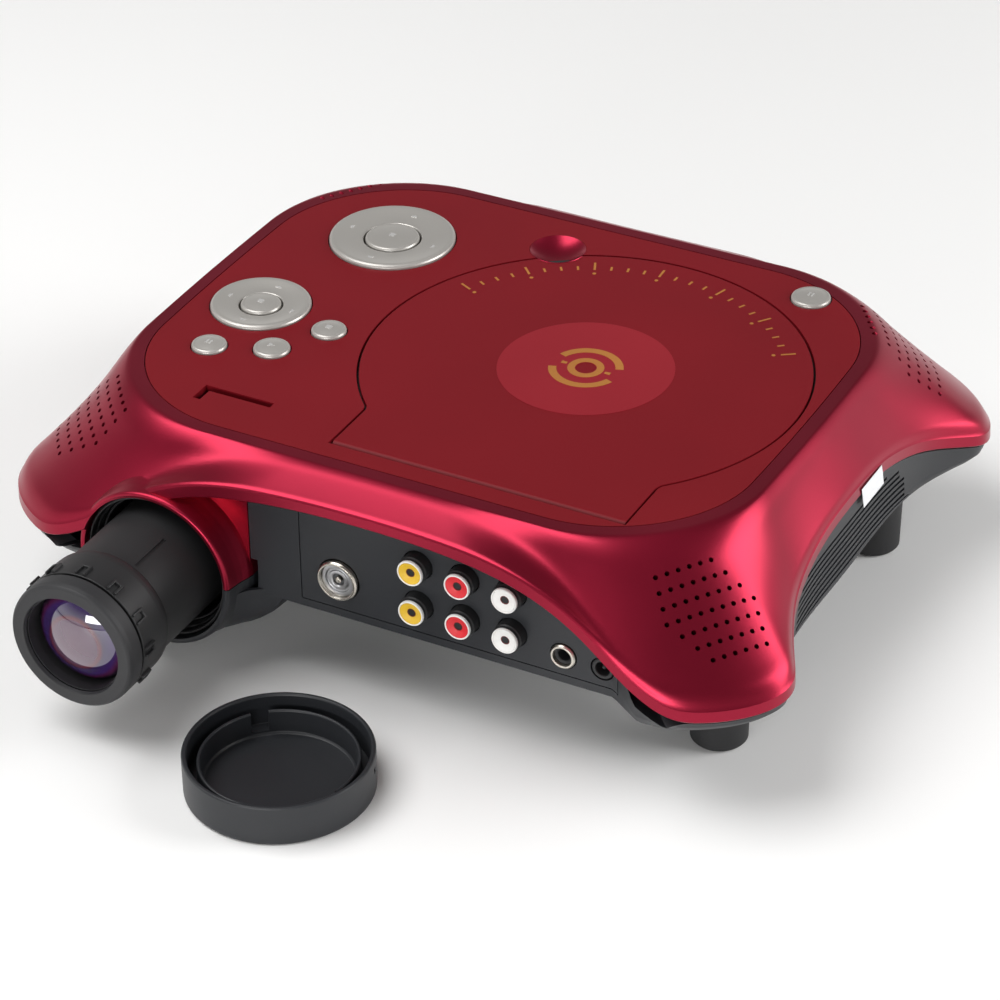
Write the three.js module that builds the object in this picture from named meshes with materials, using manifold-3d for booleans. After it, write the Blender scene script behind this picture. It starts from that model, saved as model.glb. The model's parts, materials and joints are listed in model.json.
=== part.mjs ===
// A table-top disc projector: flared shell on four feet, hinged disc lid, focusing lens, loose lens cap.
// Millimetres. +Z is up, the lens looks along -Y, and the floor is z = 0.
import * as THREE from 'three';
import { mergeVertices } from 'three/addons/utils/BufferGeometryUtils.js';
import Module from 'manifold-3d';

const wasm = await Module();
wasm.setup();

// ---------------------------------------------------------------- driving dimensions
const gap = 0.3; // clearance between neighbouring pieces
const topZ = 71; // the flat top
const baseZ = 27; // the underside of the base
const floorTop = 29.2; // the upper face of the base's floor plate
const seam = 0.7; // open joint between the shell's lip and the base
const steepSeam = 2.2; // the same joint where the lip climbs, measured straight down
// Outline of the flat top: a rounded rectangle with bulging sides, a little off the middle of the lip.
const top = { halfX: 97.2, halfY: 79.5, corner: 45, bulge: 3, shiftX: -2.7, shiftY: 2.6 };
const panel = { inset: 3.5, thick: 1.9 };
const ceilingZ = topZ - 2.2; // the shell's own roof, under the inlaid panel
const keyHole = 0.35; // clearance round a key

const lid = { x: 24.5, y: 2.3, r: 66, halfX: 46, hingeY: -64.2, edgeR: 1.9, pinR: 0.8 };
const lidFrontY = lid.hingeY - lid.edgeR;
const well = { r: 63, wall: 1.6, floorZ: 60.3 };

const lens = { x: -65.2, z: 32, frontY: -138.5, collarY: -95.4, boreR: 23.4 };
const portWall = { y: -85.3, x0: -21.5, x1: 79, thick: 2.6 };
const ventGrooves = { count: 7, lowZ: 30, pitch: 2.2, width: 1, reach: 46, arch: 22, sideX: 109.7 };
const exhaustSlots = { count: 6, pitch: 6, width: 2.6, z0: 33, z1: 48 };
const caseScrews = [[72, -66], [72, 66], [-20, 66], [-100, 30]];
const screw = { headR: 2.8, z0: 27.6, z1: 28.9, slot: 0.6 };
const cap = { x: -3.5, y: -130.8, r: 27, height: 12.5 };
const foot = { r: 9, tipR: 8.3 };
const footPlaces = { fl: [-103.6, -64], fr: [95.4, -54.9], bl: [-95.4, 54.9], br: [95.4, 54.9] };
const speakers = {
  speaker_r: { x: 92, y: -62, r: 12.5, backR: 10, z0: 34, z1: 44 },
  speaker_l: { x: -96, y: -40, r: 10.5, backR: 8, z0: 34, z1: 42 },
};

// Lip of the shell, one quarter, from the middle of the side to the middle of the end: x, y, z.
const lipQuarter = [
  [110.5, 0, 50], [110.5, 20, 48.8], [112, 38, 45], [115.2, 51, 41], [121, 63, 36.6], [124.5, 70, 34.6],
  [122.6, 78.5, 33.6], [116.5, 86.5, 33.3], [108.7, 92.6, 33.3], [100, 97, 34], [90, 97, 38], [80, 95.6, 44],
  [68, 94, 52.4], [50, 92.8, 60], [25, 91, 62.6], [0, 90.4, 63],
];
// Distance along the flat top's quarter outline that belongs to each point of the lip.
const topRun = [0, 14, 27, 40, 52, 60, 68, 76, 84, 92, 100, 108, 117, 129, 143, 157.4];
// The flare from the flat top (0, 0) to the lip (1, 1): share of the way out, share of the way down.
const flare = [
  [0, 0], [0.07, 0.015], [0.2, 0.12], [0.36, 0.3], [0.6, 0.55], [0.82, 0.77], [0.94, 0.89], [1, 1],
];
// The inside, level by level: share out, share down, inset and drop from the outside.
const flareInside = [
  [0, 0, 1.5, 4.2], [0.2, 0.12, 2.6, 2.6], [0.36, 0.3, 3.1, 0], [0.82, 0.77, 2.9, 0], [1, 1, 2.2, 0],
];

// The flat top's middle is x = 0, y = 0 while it is built. The finished model, cap included, is centred on
// its box.
const backY = Math.max(...lipQuarter.map(([, y]) => y));
const frameShiftY = (cap.r - cap.y - backY) / 2;

// ---------------------------------------------------------------- solids
function signedVolume(position, index) {
  let volume = 0;
  const [a, b, c] = [new THREE.Vector3(), new THREE.Vector3(), new THREE.Vector3()];
  for (let i = 0; i < index.length; i += 3) {
    a.fromBufferAttribute(position, index[i]);
    b.fromBufferAttribute(position, index[i + 1]);
    c.fromBufferAttribute(position, index[i + 2]);
    volume += a.dot(b.cross(c)) / 6;
  }
  return volume;
}

// A closed three.js geometry becomes a solid, turned right side out.
function solid(geometry) {
  const bare = geometry.clone();
  for (const name of Object.keys(bare.attributes)) if (name !== 'position') bare.deleteAttribute(name);
  const merged = mergeVertices(bare, 1e-4);
  const index = [];
  for (let i = 0; i < merged.index.count; i += 3) {
    const [a, b, c] = [0, 1, 2].map((k) => merged.index.getX(i + k));
    if (a !== b && b !== c && c !== a) index.push(a, b, c);
  }
  if (signedVolume(merged.attributes.position, index) < 0) index.reverse();
  const vertProperties = new Float32Array(merged.attributes.position.array);
  return new wasm.Manifold(new wasm.Mesh({ numProp: 3, vertProperties, triVerts: new Uint32Array(index) }));
}

function geometryOf(manifold) {
  const mesh = manifold.getMesh();
  const geometry = new THREE.BufferGeometry();
  geometry.setAttribute('position', new THREE.BufferAttribute(mesh.vertProperties, 3));
  geometry.setIndex(new THREE.BufferAttribute(mesh.triVerts, 1));
  geometry.computeVertexNormals();
  return geometry;
}

const join = (first, ...rest) => rest.reduce((all, next) => all.add(next), first);
const cut = (first, ...rest) => rest.reduce((all, next) => all.subtract(next), first);

function box(x0, x1, y0, y1, z0, z1) {
  const geometry = new THREE.BoxGeometry(x1 - x0, y1 - y0, z1 - z0);
  return solid(geometry.translate((x0 + x1) / 2, (y0 + y1) / 2, (z0 + z1) / 2));
}

// Radius of a polygon whose flats lie at r, so that a round piece of radius r clears them.
const around = (r, sides) => r / Math.cos(Math.PI / sides);

// Upright cylinder or cone.
function post(x, y, z0, z1, r0, r1 = r0, sides = 24) {
  const geometry = new THREE.CylinderGeometry(r1, r0, z1 - z0, sides).rotateX(Math.PI / 2);
  return solid(geometry.translate(x, y, (z0 + z1) / 2));
}

// Cylinder lying along Y.
function rod(x, z, y0, y1, r, sides = 24) {
  const geometry = new THREE.CylinderGeometry(r, r, y1 - y0, sides);
  return solid(geometry.translate(x, (y0 + y1) / 2, z));
}

// Cutters for upright and lying round holes.
const uprightHole = (x, y, z0, z1, r, sides) => post(x, y, z0, z1, around(r, sides), around(r, sides), sides);
const lyingHole = (x, z, y0, y1, r, sides) => rod(x, z, y0, y1, around(r, sides), sides);

// Turned about an upright axis: the profile is [radius, height] pairs.
function turned(profile, x, y, sides = 32) {
  const points = profile.map(([r, z]) => new THREE.Vector2(r, z));
  return solid(new THREE.LatheGeometry(points, sides).rotateX(Math.PI / 2).translate(x, y, 0));
}

// Turned about an axis along Y: the profile is [radius, y] pairs.
function turnedAlongY(profile, x, z, sides = 32) {
  const points = profile.map(([r, y]) => new THREE.Vector2(r, y));
  return solid(new THREE.LatheGeometry(points, sides).translate(x, 0, z));
}

const closed = (profile) => [...profile, profile[0]];

// A tube's closed profile, from one end to the other.
const tube = (rIn, rOut, from, to) => closed([[rIn, from], [rOut, from], [rOut, to], [rIn, to]]);

function plate(shape, z0, z1, curveSegments = 12) {
  const geometry = new THREE.ExtrudeGeometry(shape, { depth: z1 - z0, bevelEnabled: false, curveSegments });
  return solid(geometry.translate(0, 0, z0));
}

function roundedOutline(halfX, halfY, r) {
  const shape = new THREE.Shape();
  shape.moveTo(halfX, -halfY + r);
  shape.absarc(halfX - r, halfY - r, r, 0, Math.PI / 2);
  shape.absarc(-halfX + r, halfY - r, r, Math.PI / 2, Math.PI);
  shape.absarc(-halfX + r, -halfY + r, r, Math.PI, 1.5 * Math.PI);
  shape.absarc(halfX - r, -halfY + r, r, 1.5 * Math.PI, 2 * Math.PI);
  return shape;
}

// Skin over a stack of equal rings, closed by a fan at each end. The fans meet at the given heights.
function loft(rings, lowZ, highZ) {
  const n = rings[0].length;
  const points = rings.flat();
  const index = [];
  for (let k = 0; k + 1 < rings.length; k++) {
    for (let i = 0; i < n; i++) {
      const [a, b] = [k * n + i, k * n + ((i + 1) % n)];
      index.push(a, b, b + n, a, b + n, a + n);
    }
  }
  const addCentre = (ring, z) => {
    const centre = ring.reduce((sum, p) => sum.add(p), new THREE.Vector3()).divideScalar(n);
    if (z !== undefined) centre.z = z;
    return points.push(centre) - 1;
  };
  const low = addCentre(rings[0], lowZ);
  const high = addCentre(rings.at(-1), highZ);
  const last = (rings.length - 1) * n;
  for (let i = 0; i < n; i++) {
    const j = (i + 1) % n;
    index.push(low, j, i, high, last + i, last + j);
  }
  const geometry = new THREE.BufferGeometry().setFromPoints(points);
  geometry.setIndex(index);
  return solid(geometry);
}

// ---------------------------------------------------------------- the shell's rings
// Carries a quarter's points round the whole outline, from +X through +Y.
function allRound(quarter) {
  const mirror = (sx, sy) => ([x, y, z]) => new THREE.Vector3(sx * x, sy * y, z);
  const back = [...quarter].reverse();
  return [
    ...quarter.map(mirror(1, 1)),
    ...back.slice(1).map(mirror(-1, 1)),
    ...quarter.slice(1).map(mirror(-1, -1)),
    ...back.slice(1, -1).map(mirror(1, -1)),
  ];
}

// The sides of the flat top swell most in their middle.
const swollen = (x, y) => x * (1 + (top.bulge / top.halfX) * (1 - (y / top.halfY) ** 2));

function topPoint(run) {
  const { halfX, halfY, corner } = top;
  const side = halfY - corner;
  const arc = (corner * Math.PI) / 2;
  if (run <= side) return [swollen(halfX, run), run, topZ];
  if (run >= side + arc) return [Math.max(0, halfX - corner - (run - side - arc)), halfY, topZ];
  const angle = (run - side) / corner;
  const y = side + corner * Math.sin(angle);
  return [swollen(halfX - corner + corner * Math.cos(angle), y), y, topZ];
}

// The flat top's outline, moved inwards.
function topOutline(inward) {
  const plain = roundedOutline(top.halfX - inward, top.halfY - inward, top.corner - inward);
  const points = plain.getSpacedPoints(80).slice(0, -1);
  const moved = ({ x, y }) => new THREE.Vector2(swollen(x, y) + top.shiftX, y + top.shiftY);
  return new THREE.Shape(points.map(moved));
}

const lipRing = allRound(lipQuarter);
const topShift = new THREE.Vector3(top.shiftX, top.shiftY, 0);
const topRing = allRound(topRun.map(topPoint)).map((p) => p.add(topShift));

// Moves a ring inwards, square to its outline.
function inset(ring, distance) {
  const n = ring.length;
  return ring.map((p, i) => {
    const [before, after] = [ring[(i + n - 1) % n], ring[(i + 1) % n]];
    const along = new THREE.Vector2(after.x - before.x, after.y - before.y).normalize();
    const amount = typeof distance === 'function' ? distance(p) : distance;
    return new THREE.Vector3(p.x - along.y * amount, p.y + along.x * amount, p.z);
  });
}

function flareRing([out, down]) {
  return topRing.map((t, i) => {
    const l = lipRing[i];
    return new THREE.Vector3(t.x + (l.x - t.x) * out, t.y + (l.y - t.y) * out, t.z + (l.z - t.z) * down);
  });
}

const lowered = (ring, dz) => ring.map((p) => new THREE.Vector3(p.x, p.y, p.z + dz));
const levelled = (ring, z) => ring.map((p) => new THREE.Vector3(p.x, p.y, z));

// Holds a ring's front stretch back to a straight wall; the wall's ends run out to the lobes.
function heldBack(ring, wallY) {
  const [straight, blend] = [77, 11];
  return ring.map((p) => {
    if (p.y > wallY || p.y > 0) return p;
    const share = THREE.MathUtils.clamp((Math.abs(p.x) - straight) / blend, 0, 1);
    return new THREE.Vector3(p.x, wallY + (p.y - wallY) * share, p.z);
  });
}

const outsideRings = flare.map(flareRing).reverse();
const shellHull = loft([levelled(lipRing, 12), ...outsideRings], 12, topZ);
const shellOutside = loft(outsideRings, 44, topZ);
const insideRings = flareInside.map(([out, down, inward, drop]) => {
  return heldBack(lowered(inset(flareRing([out, down]), inward), -drop), portWall.y - 0.5);
}).reverse();
const shellInside = loft([lowered(insideRings[0], -6), ...insideRings], 10, topZ - 4.2);

// ---------------------------------------------------------------- keys and ports
const keys = {
  menu_ring: { x: -63.2, y: 44.3, r: 19.5, hole: 9, rise: 1.3 },
  menu_key: { x: -63.2, y: 44.3, r: 8.4, rise: 1.6 },
  play_ring: { x: -78.8, y: -8.6, r: 15.2, hole: 6.7, rise: 1.1 },
  play_key: { x: -78.8, y: -8.6, r: 6.1, rise: 1.4 },
  key_a: { x: -80.1, y: -36.1, r: 5.3, rise: 1.2 },
  key_b: { x: -62.6, y: -29.6, r: 5.5, rise: 1.2 },
  key_c: { x: -52.8, y: -13, r: 5.3, rise: 1.2 },
  power_key: { x: 66.7, y: 68.3, r: 6, rise: 1.2 },
};
const ringed = ['menu_key', 'play_key']; // these stand inside a ring
const keyFootZ = 66;
const keyBoardTop = 65.2;

const jacks = { pitch: 14.7, firstX: 16.4, lowZ: 38.9, highZ: 52.3, faceY: -90.4, rearY: -80.6, r: 4.4 };
const antenna = { x: -9.3, z: 39.6, r: 6.4 };
const phones = { x: 61.6, z: 36, r: 3.9 };
const powerInlet = { x: 73.6, z: 35.4, r: 3.4 };
const phonoPlaces = [0, 1, 2].flatMap((i) => {
  const x = jacks.firstX + i * jacks.pitch;
  return [jacks.lowZ, jacks.highZ].map((z) => ({ x, z, r: jacks.r }));
});
const sockets = [...phonoPlaces, antenna, phones, powerInlet];

// ---------------------------------------------------------------- housing
function lidOutline(grow) {
  const r = lid.r + grow;
  const half = lid.halfX + grow;
  const start = Math.asin(half / r);
  const frontY = lidFrontY - grow;
  const shape = new THREE.Shape();
  shape.moveTo(lid.x - half, frontY);
  shape.lineTo(lid.x + half, frontY);
  shape.absarc(lid.x, lid.y, r, start - Math.PI / 2, 1.5 * Math.PI - start);
  shape.closePath();
  return shape;
}

// The finger scoop at the lid's edge.
const scoop = solid(new THREE.SphereGeometry(10, 16, 10).translate(-14.6, 61.2, topZ + 6.9));

// The L-shaped slot for memory cards.
function cardSlot(z0, z1) {
  const outline = new THREE.Shape();
  const [left, right, front, back, width] = [-69.3, -46.5, -63, -55.4, 2.5];
  const corners = [
    [left, front], [left + width, front], [left + width, back - width], [right, back - width],
    [right, back], [left, back],
  ];
  outline.setFromPoints(corners.map(([x, y]) => new THREE.Vector2(x, y)));
  return plate(outline, z0, z1);
}

// The flared ring round the lens: it grows out of the shell above and out of the base below.
const collarProfile = closed([
  [20, lens.collarY], [24.7, lens.collarY], [25.4, -94.6], [25.2, -92.6], [25.3, -89], [26.4, -86.6],
  [27.2, -84], [27.2, -62], [20, -62],
]);
const collar = turnedAlongY(collarProfile, lens.x, lens.z, 28);
const lensBore = lyingHole(lens.x, lens.z, -96, -61, lens.boreR, 28);
const above = box(-140, 140, -110, 110, lens.z + gap / 2, 90);
const below = box(-140, 140, -110, 110, -10, lens.z - gap / 2);

// One cutter for each key that stands on its own; a ring's cutter clears the key inside it too.
function keyHoles(z0, z1, clear) {
  const outer = Object.entries(keys).filter(([name]) => !ringed.includes(name));
  return outer.map(([, k]) => uprightHole(k.x, k.y, z0, z1, k.r + clear, 16));
}

function upperShell() {
  const screen = box(-93, -38.5, portWall.y, portWall.y + 2.4, lens.z + gap / 2, 66).intersect(shellHull);
  const skin = join(cut(shellOutside, shellInside), screen);
  const roofHoles = keyHoles(64, 72, keyHole + 0.1);
  const hingeSlot = box(lid.x - lid.halfX - 3, lid.x + lid.halfX + 3, lidFrontY - 0.6, -58, 64, 70);
  return cut(
    join(skin, collar.intersect(above)), plate(topOutline(panel.inset), ceilingZ, topZ + 1), lensBore,
    hingeSlot, scoop, cardSlot(64, 70),
    lyingHole(jacks.firstX + 2 * jacks.pitch, jacks.highZ, -100, -80, jacks.r + 0.4, 10),
    uprightHole(lid.x, lid.y, 64, 70, well.r + 0.4, 28), ...roofHoles,
  );
}

function topPanel() {
  const z0 = topZ - panel.thick;
  const lidOpening = plate(lidOutline(0.4), z0 - 1, topZ + 1, 24);
  const sheet = cut(plate(topOutline(panel.inset + gap), z0, topZ), lidOpening);
  const lugs = [-1, 1].map((side) => {
    const x = lid.x + side * (lid.halfX + 1.5);
    return box(x - 1, x + 1, lidFrontY - 0.4, lid.hingeY + 2, topZ - 3.9, topZ - 0.5);
  });
  const pinHole = lidPin(lid.pinR + 0.08, lid.halfX + 2.4);
  const holes = keyHoles(z0 - 1, topZ + 1, keyHole);
  return cut(join(sheet, ...lugs), pinHole, scoop, cardSlot(z0 - 1, topZ + 1), ...holes);
}

// A rod along the lid's hinge line.
function lidPin(r, half) {
  return rod(0, 0, -half, half, r, 12).rotate([0, 0, 90]).translate([lid.x, lid.hingeY, topZ - lid.edgeR]);
}

function discLid() {
  const z0 = topZ - panel.thick;
  const sheet = plate(lidOutline(0), z0, topZ, 24);
  const square = box(-40, 90, lidFrontY - 1, lid.hingeY, z0 - 1, topZ + 1);
  return cut(join(cut(sheet, square), lidPin(lid.edgeR, lid.halfX)), lidPin(lid.pinR + 0.08, 60), scoop);
}

function baseWalls() {
  const onSteepLip = (p) => Math.abs(p.y) > 88 && p.z > 34.2 && p.z < 62;
  const seamBelow = (p) => {
    if (!onSteepLip(p)) return seam;
    return p.y > 0 ? steepSeam : steepSeam + 2.2;
  };
  const lobe = (p) => THREE.MathUtils.clamp((50 - p.z) / 16.5, 0, 1); // 1 where the lip is lowest
  const floorRing = levelled(inset(lipRing, (p) => 1 + 5 * lobe(p)), baseZ);
  const kneeRing = levelled(inset(lipRing, (p) => 1 + 1.2 * lobe(p)), baseZ + 3.5);
  const rimRing = inset(lipRing, 1).map((p) => new THREE.Vector3(p.x, p.y, p.z - seamBelow(p)));
  const skirt = loft([floorRing, kneeRing, rimRing].map((ring) => heldBack(ring, portWall.y)), baseZ, 50);
  const cavityRing = heldBack(inset(lipRing, (p) => 3.6 + 2.4 * lobe(p)), portWall.y + portWall.thick);
  const cavityLevels = [levelled(cavityRing, floorTop), levelled(cavityRing, floorTop + 2.8)];
  const cavity = loft([...cavityLevels, lowered(cavityRing, 8)], floorTop, 75);
  return cut(skirt, cavity);
}

const walls = baseWalls();
const portZone = (grow) => box(portWall.x0 - grow, portWall.x1 + grow, -90, -80, floorTop + 0.6 - grow, 80);

function bottomShell() {
  const grooves = Array.from({ length: ventGrooves.count }, (_, i) => {
    const z = ventGrooves.lowZ + i * ventGrooves.pitch;
    const reach = ventGrooves.reach * Math.sqrt(1 - ((z - baseZ) / ventGrooves.arch) ** 2);
    const half = ventGrooves.width / 2;
    return [-1, 1].map((side) => {
      const x = side * ventGrooves.sideX;
      return box(x - 1, x + 1, -reach, reach, z - half, z + half);
    });
  }).flat();
  const { count, pitch, width, z0, z1 } = exhaustSlots;
  const exhaust = Array.from({ length: count }, (_, i) => {
    const x = lens.x + pitch * (i - (count - 1) / 2);
    return box(x - width / 2, x + width / 2, 80, 95, z0, z1);
  });
  const screws = caseScrews.map(([x, y]) => uprightHole(x, y, 20, 30, screw.headR + gap, 10));
  const shell = cut(join(walls, belly(0)), belly(2), portZone(gap), ...grooves, ...exhaust);
  const clearOfShell = join(
    box(-94, -38.2, -95, portWall.y + 2.8, lens.z - gap / 2, 70),
    lyingHole(lens.x, lens.z, -96, -61.6, 27.5, 28).intersect(box(-140, 0, -100, -50, lens.z - gap / 2, 70)),
  );
  return cut(join(cut(shell, clearOfShell), collar.intersect(below)), lensBore, ...screws);
}

// The swelling of the base under the light path: sections along Y, each with half width and depth below
// the axis.
const bellySections = [
  [-92, 25.2, 25.2], [-88, 27.5, 25.3], [-83, 34, 25.2], [-76, 38, 24.6], [-34, 38, 22], [-8, 36, 15],
  [16, 32, 5.4],
];
const bellyLeft = 28; // it stays clear of the front left foot
const floorHalf = 3.5; // the belly's edge runs this far below the axis, inside the floor plate

function belly(wall) {
  const steps = 8;
  const rings = bellySections.map(([y, halfX, depth], k) => {
    const last = k === bellySections.length - 1;
    const endShift = k === 0 ? -4 : last ? -6 : 0; // the inside is open in front and stops short at the back
    const at = y + (wall ? endShift : 0);
    const [right, left, rz] = [halfX - wall, Math.min(halfX, bellyLeft) - wall, depth - wall];
    const from = wall ? 0 : Math.asin(floorHalf / rz);
    const arc = Array.from({ length: steps + 1 }, (_, i) => {
      const angle = from + ((Math.PI - 2 * from) * i) / steps;
      const reach = angle < Math.PI / 2 ? right : left;
      return new THREE.Vector3(reach * Math.cos(angle), at, -rz * Math.sin(angle));
    });
    const cover = [new THREE.Vector3(-left, at, 6), new THREE.Vector3(right, at, 6)];
    return wall ? [...arc, ...cover] : arc;
  });
  return loft(rings).translate([lens.x, 0, lens.z]);
}

function portPanel() {
  const holes = sockets.map((s) => lyingHole(s.x, s.z, -90, -80, s.r + gap, 12));
  return cut(walls.intersect(portZone(0)), ...holes);
}

// ---------------------------------------------------------------- key and socket shapes
// A domed key: full width at its foot, a soft shoulder, a gentle crown. Rings are dished towards their hole.
function key({ x, y, r, hole, rise }) {
  const z = topZ + rise;
  const shoulder = [[r, keyFootZ], [r, z - 0.9], [r - 0.35, z - 0.3], [r - 1, z]];
  if (!hole) return turned([[0, keyFootZ], ...shoulder, [0, z + 0.3]], x, y, 16);
  const dish = [[(r + hole) / 2, z - 0.5], [hole + 1, z - 0.3], [hole, z - 0.8], [hole, keyFootZ]];
  return turned(closed([...shoulder, ...dish]), x, y, 20);
}

// A phono socket: flange behind the panel, barrel, pierced face.
function phonoJack(x, z) {
  const { faceY, rearY, r } = jacks;
  const profile = [
    [0, rearY], [r, rearY], [r, faceY + 1.8], [4, faceY + 1.5], [4, faceY + 0.5], [3.7, faceY],
    [1.9, faceY], [1.7, faceY + 8], [0, faceY + 8],
  ];
  return turnedAlongY(profile, x, z, 10);
}

// A round socket with a raised rim and a blind hole.
function roundSocket({ x, z, r }, rimY, holeR, depth) {
  const faceY = rimY + 0.8;
  const profile = [
    [0, jacks.rearY], [r, jacks.rearY], [r, rimY + 0.6], [r - 0.5, rimY], [r - 1.2, rimY], [r - 1.4, faceY],
    [holeR + 0.3, faceY], [holeR, faceY + 0.3], [holeR, rimY + depth], [0, rimY + depth],
  ];
  return turnedAlongY(profile, x, z, 10);
}

function cardReader() {
  return cut(box(-72, -43, -66.5, -52.5, 59.5, 66.4), cardSlot(61.5, 70));
}

function boards() {
  const thick = 1.6;
  const mainZ = 31.5;
  const fixings = [[-18, -44], [92, -40], [-18, 60], [92, 40]];
  const fixingHoles = fixings.map(([x, y]) => uprightHole(x, y, mainZ - 1, mainZ + thick + 1, 1.7, 8));
  const main = cut(box(-24, 98, -50, 66, mainZ, mainZ + thick), ...fixingHoles);
  const keyRun = box(-90, -42, -46, 66, keyBoardTop - thick, keyBoardTop);
  return {
    main_board: main,
    port_board: box(-19, 81, jacks.rearY + 0.4, jacks.rearY + 0.4 + thick, 31, 55),
    key_board: cut(keyRun, uprightHole(lid.x, lid.y, 60, 70, well.r + 0.8, 28)).intersect(
      plate(roundedOutline(91, 73, 42), 60, 70, 8),
    ),
    power_switch: box(62.5, 71, 65.5, 71, 60.5, keyBoardTop),
  };
}

// ---------------------------------------------------------------- lens
const barrel = { r: 18.4, bore: 16.4, rear: -58 };
const grip = { from: -131.5, to: -117.5, r: 19.9, bumps: 12, bump: 1.5 };

function lensParts() {
  const along = (profile, sides = 20) => turnedAlongY(profile, lens.x, lens.z, sides);
  const sleeve = closed([
    [21.2, -64], [23.2, -64], [23.2, -92.5], [22.7, -93.4], [22, -93.4], [21.8, -91], [21.2, -90.4],
  ]);
  const body = closed([
    [barrel.bore, barrel.rear], [barrel.r, barrel.rear], [barrel.r, -105.6], [18, -106], [18, -106.8],
    [barrel.r, -107.2], [barrel.r, -132], [barrel.bore, -132],
  ]);
  const ring = closed([
    [18.7, grip.to], [19.2, grip.to], [grip.r, -120.5], [grip.r, grip.from], [18.7, grip.from],
  ]);
  const bump = box(-1.6, 1.6, -127.5, -121.5, 0, grip.r + grip.bump);
  const core = rod(0, 0, -128, -121, 19.2, 20);
  const bumps = Array.from({ length: grip.bumps }, (_, i) => {
    return bump.subtract(core).rotate([0, (360 * i) / grip.bumps, 0]);
  });
  const front = closed([
    [15, lens.frontY], [18.9, lens.frontY], [19.7, -137.6], [19.9, -132.4], [16.9, -132.4], [16.2, -136.2],
    [15, -137],
  ]);
  const convex = (y0, y1, r, swell) => [[0, y0 - swell], [r * 0.5, y0 - swell * 0.75], [r, y0], [r, y1],
    [r * 0.5, y1 + swell * 0.75], [0, y1 + swell]];
  return {
    lens_sleeve: along(sleeve, 24),
    focus_carrier: along(tube(18.8, 20.8, -64.6, -70)),
    lens_barrel: along(body),
    focus_ring: join(along(ring), ...bumps.map((b) => b.translate([lens.x, 0, lens.z]))),
    front_ring: along(front),
    front_lens: along(convex(-131.2, -128, 16, 1.6)),
    rear_lens: along(convex(-70, -67.5, 16, 1.4)),
  };
}

function lensCap() {
  const { x, y, r, height } = cap;
  const profile = closed([
    [0, 0.4], [r - 1.4, 0.4], [r - 1, 0], [r - 0.4, 0], [r, 0.6], [r, height - 0.3], [r - 0.3, height],
    [r - 1.3, height], [r - 1.4, 3], [22.9, 3], [22.9, 9.6], [21.9, 9.6], [21.8, 1.8], [0, 1.8],
  ]);
  const gapAngles = [135, 338]; // degrees round the inner ring
  const gaps = gapAngles.map((angle) => {
    return box(20.5, 24.2, -2.6, 2.6, 3, 12).rotate([0, 0, angle]).translate([x, y, 0]);
  });
  const eyelet = rod(0, 0, 24, 30, 1, 8).rotate([0, 0, -72]).translate([x, y, 8.3]);
  return cut(turned(profile, x, y, 24), ...gaps, eyelet);
}

// ---------------------------------------------------------------- disc drive
const deck = { z0: 57, z1: 58.6 };
const sled = { r: 30, railX: 14.5, railZ: 51, railR: 1.5, wheelR: 6.3, wheelOut: 25.2, wheelBack: 38 };

function discDrive() {
  const { x, y } = lid;
  const slot = (half, y0, y1) => box(x - half, x + half, y0, y1, 40, 80);
  const tray = turned(closed([
    [0, well.floorZ], [well.r, well.floorZ], [well.r, 68.4], [well.r - well.wall, 68.4],
    [well.r - well.wall - 0.4, well.floorZ + 1.6], [0, well.floorZ + 1.6],
  ]), x, y, 28);
  const bracket = (y0) => box(x - 18.5, x + 18.5, y0, y0 + 4, 48, deck.z0 + 0.5);
  const rail = (side, r) => rod(x + side * sled.railX, sled.railZ, y - 23.5, y + 69.5, r, 10);
  const rails = (r) => [rail(-1, r), rail(1, r)];
  const [wheelX, wheelY] = [x + sled.wheelOut, y + sled.wheelBack];
  const wheelPin = post(wheelX, wheelY, 48, deck.z0 + 0.5, 1, 1, 10);
  const deckPlate = box(x - 33, x + 33, y - 24, y + 70, deck.z0, deck.z1);
  const plateBody = join(deckPlate, bracket(y - 24), bracket(y + 66), wheelPin);
  const sledY = y + sled.r;
  const sledBlock = box(x - 18.2, x + 18.2, sledY - 11, sledY + 11, 47.5, 55);
  const carriage = join(sledBlock, post(x, sledY, 54, 62.4, 5, 4.6, 12));
  return {
    disc_tray: cut(tray, uprightHole(x, y, 55, 70, 17, 20), slot(6.5, y, y + 59.5)),
    drive_deck: cut(plateBody, uprightHole(x, y, 40, 70, 12.4, 20), slot(7, y, y + 60), ...rails(1.62)),
    spindle_motor: turned([
      [0, 44.5], [11, 44.5], [12, 45.5], [12, 59.4], [4, 59.7], [4, 61.4], [1.12, 61.4], [1.12, 66.2],
      [0, 66.2],
    ], x, y, 16),
    turntable: turned(closed([
      [1.2, 61.8], [5, 61.8], [5, 62.4], [16, 62.4], [16, 64], [7.4, 64], [7.2, 66], [5.6, 67.4], [1.2, 67.4],
    ]), x, y, 16),
    optical_pickup: cut(carriage, ...rails(1.6)),
    guide_rail_l: rail(-1, sled.railR),
    guide_rail_r: rail(1, sled.railR),
    sled_wheel: turned(closed([
      [1.1, 50], [sled.wheelR, 50], [sled.wheelR, 52.5], [3, 52.5], [3, 54.5], [1.1, 54.5],
    ]), wheelX, wheelY, 16),
  };
}

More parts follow.
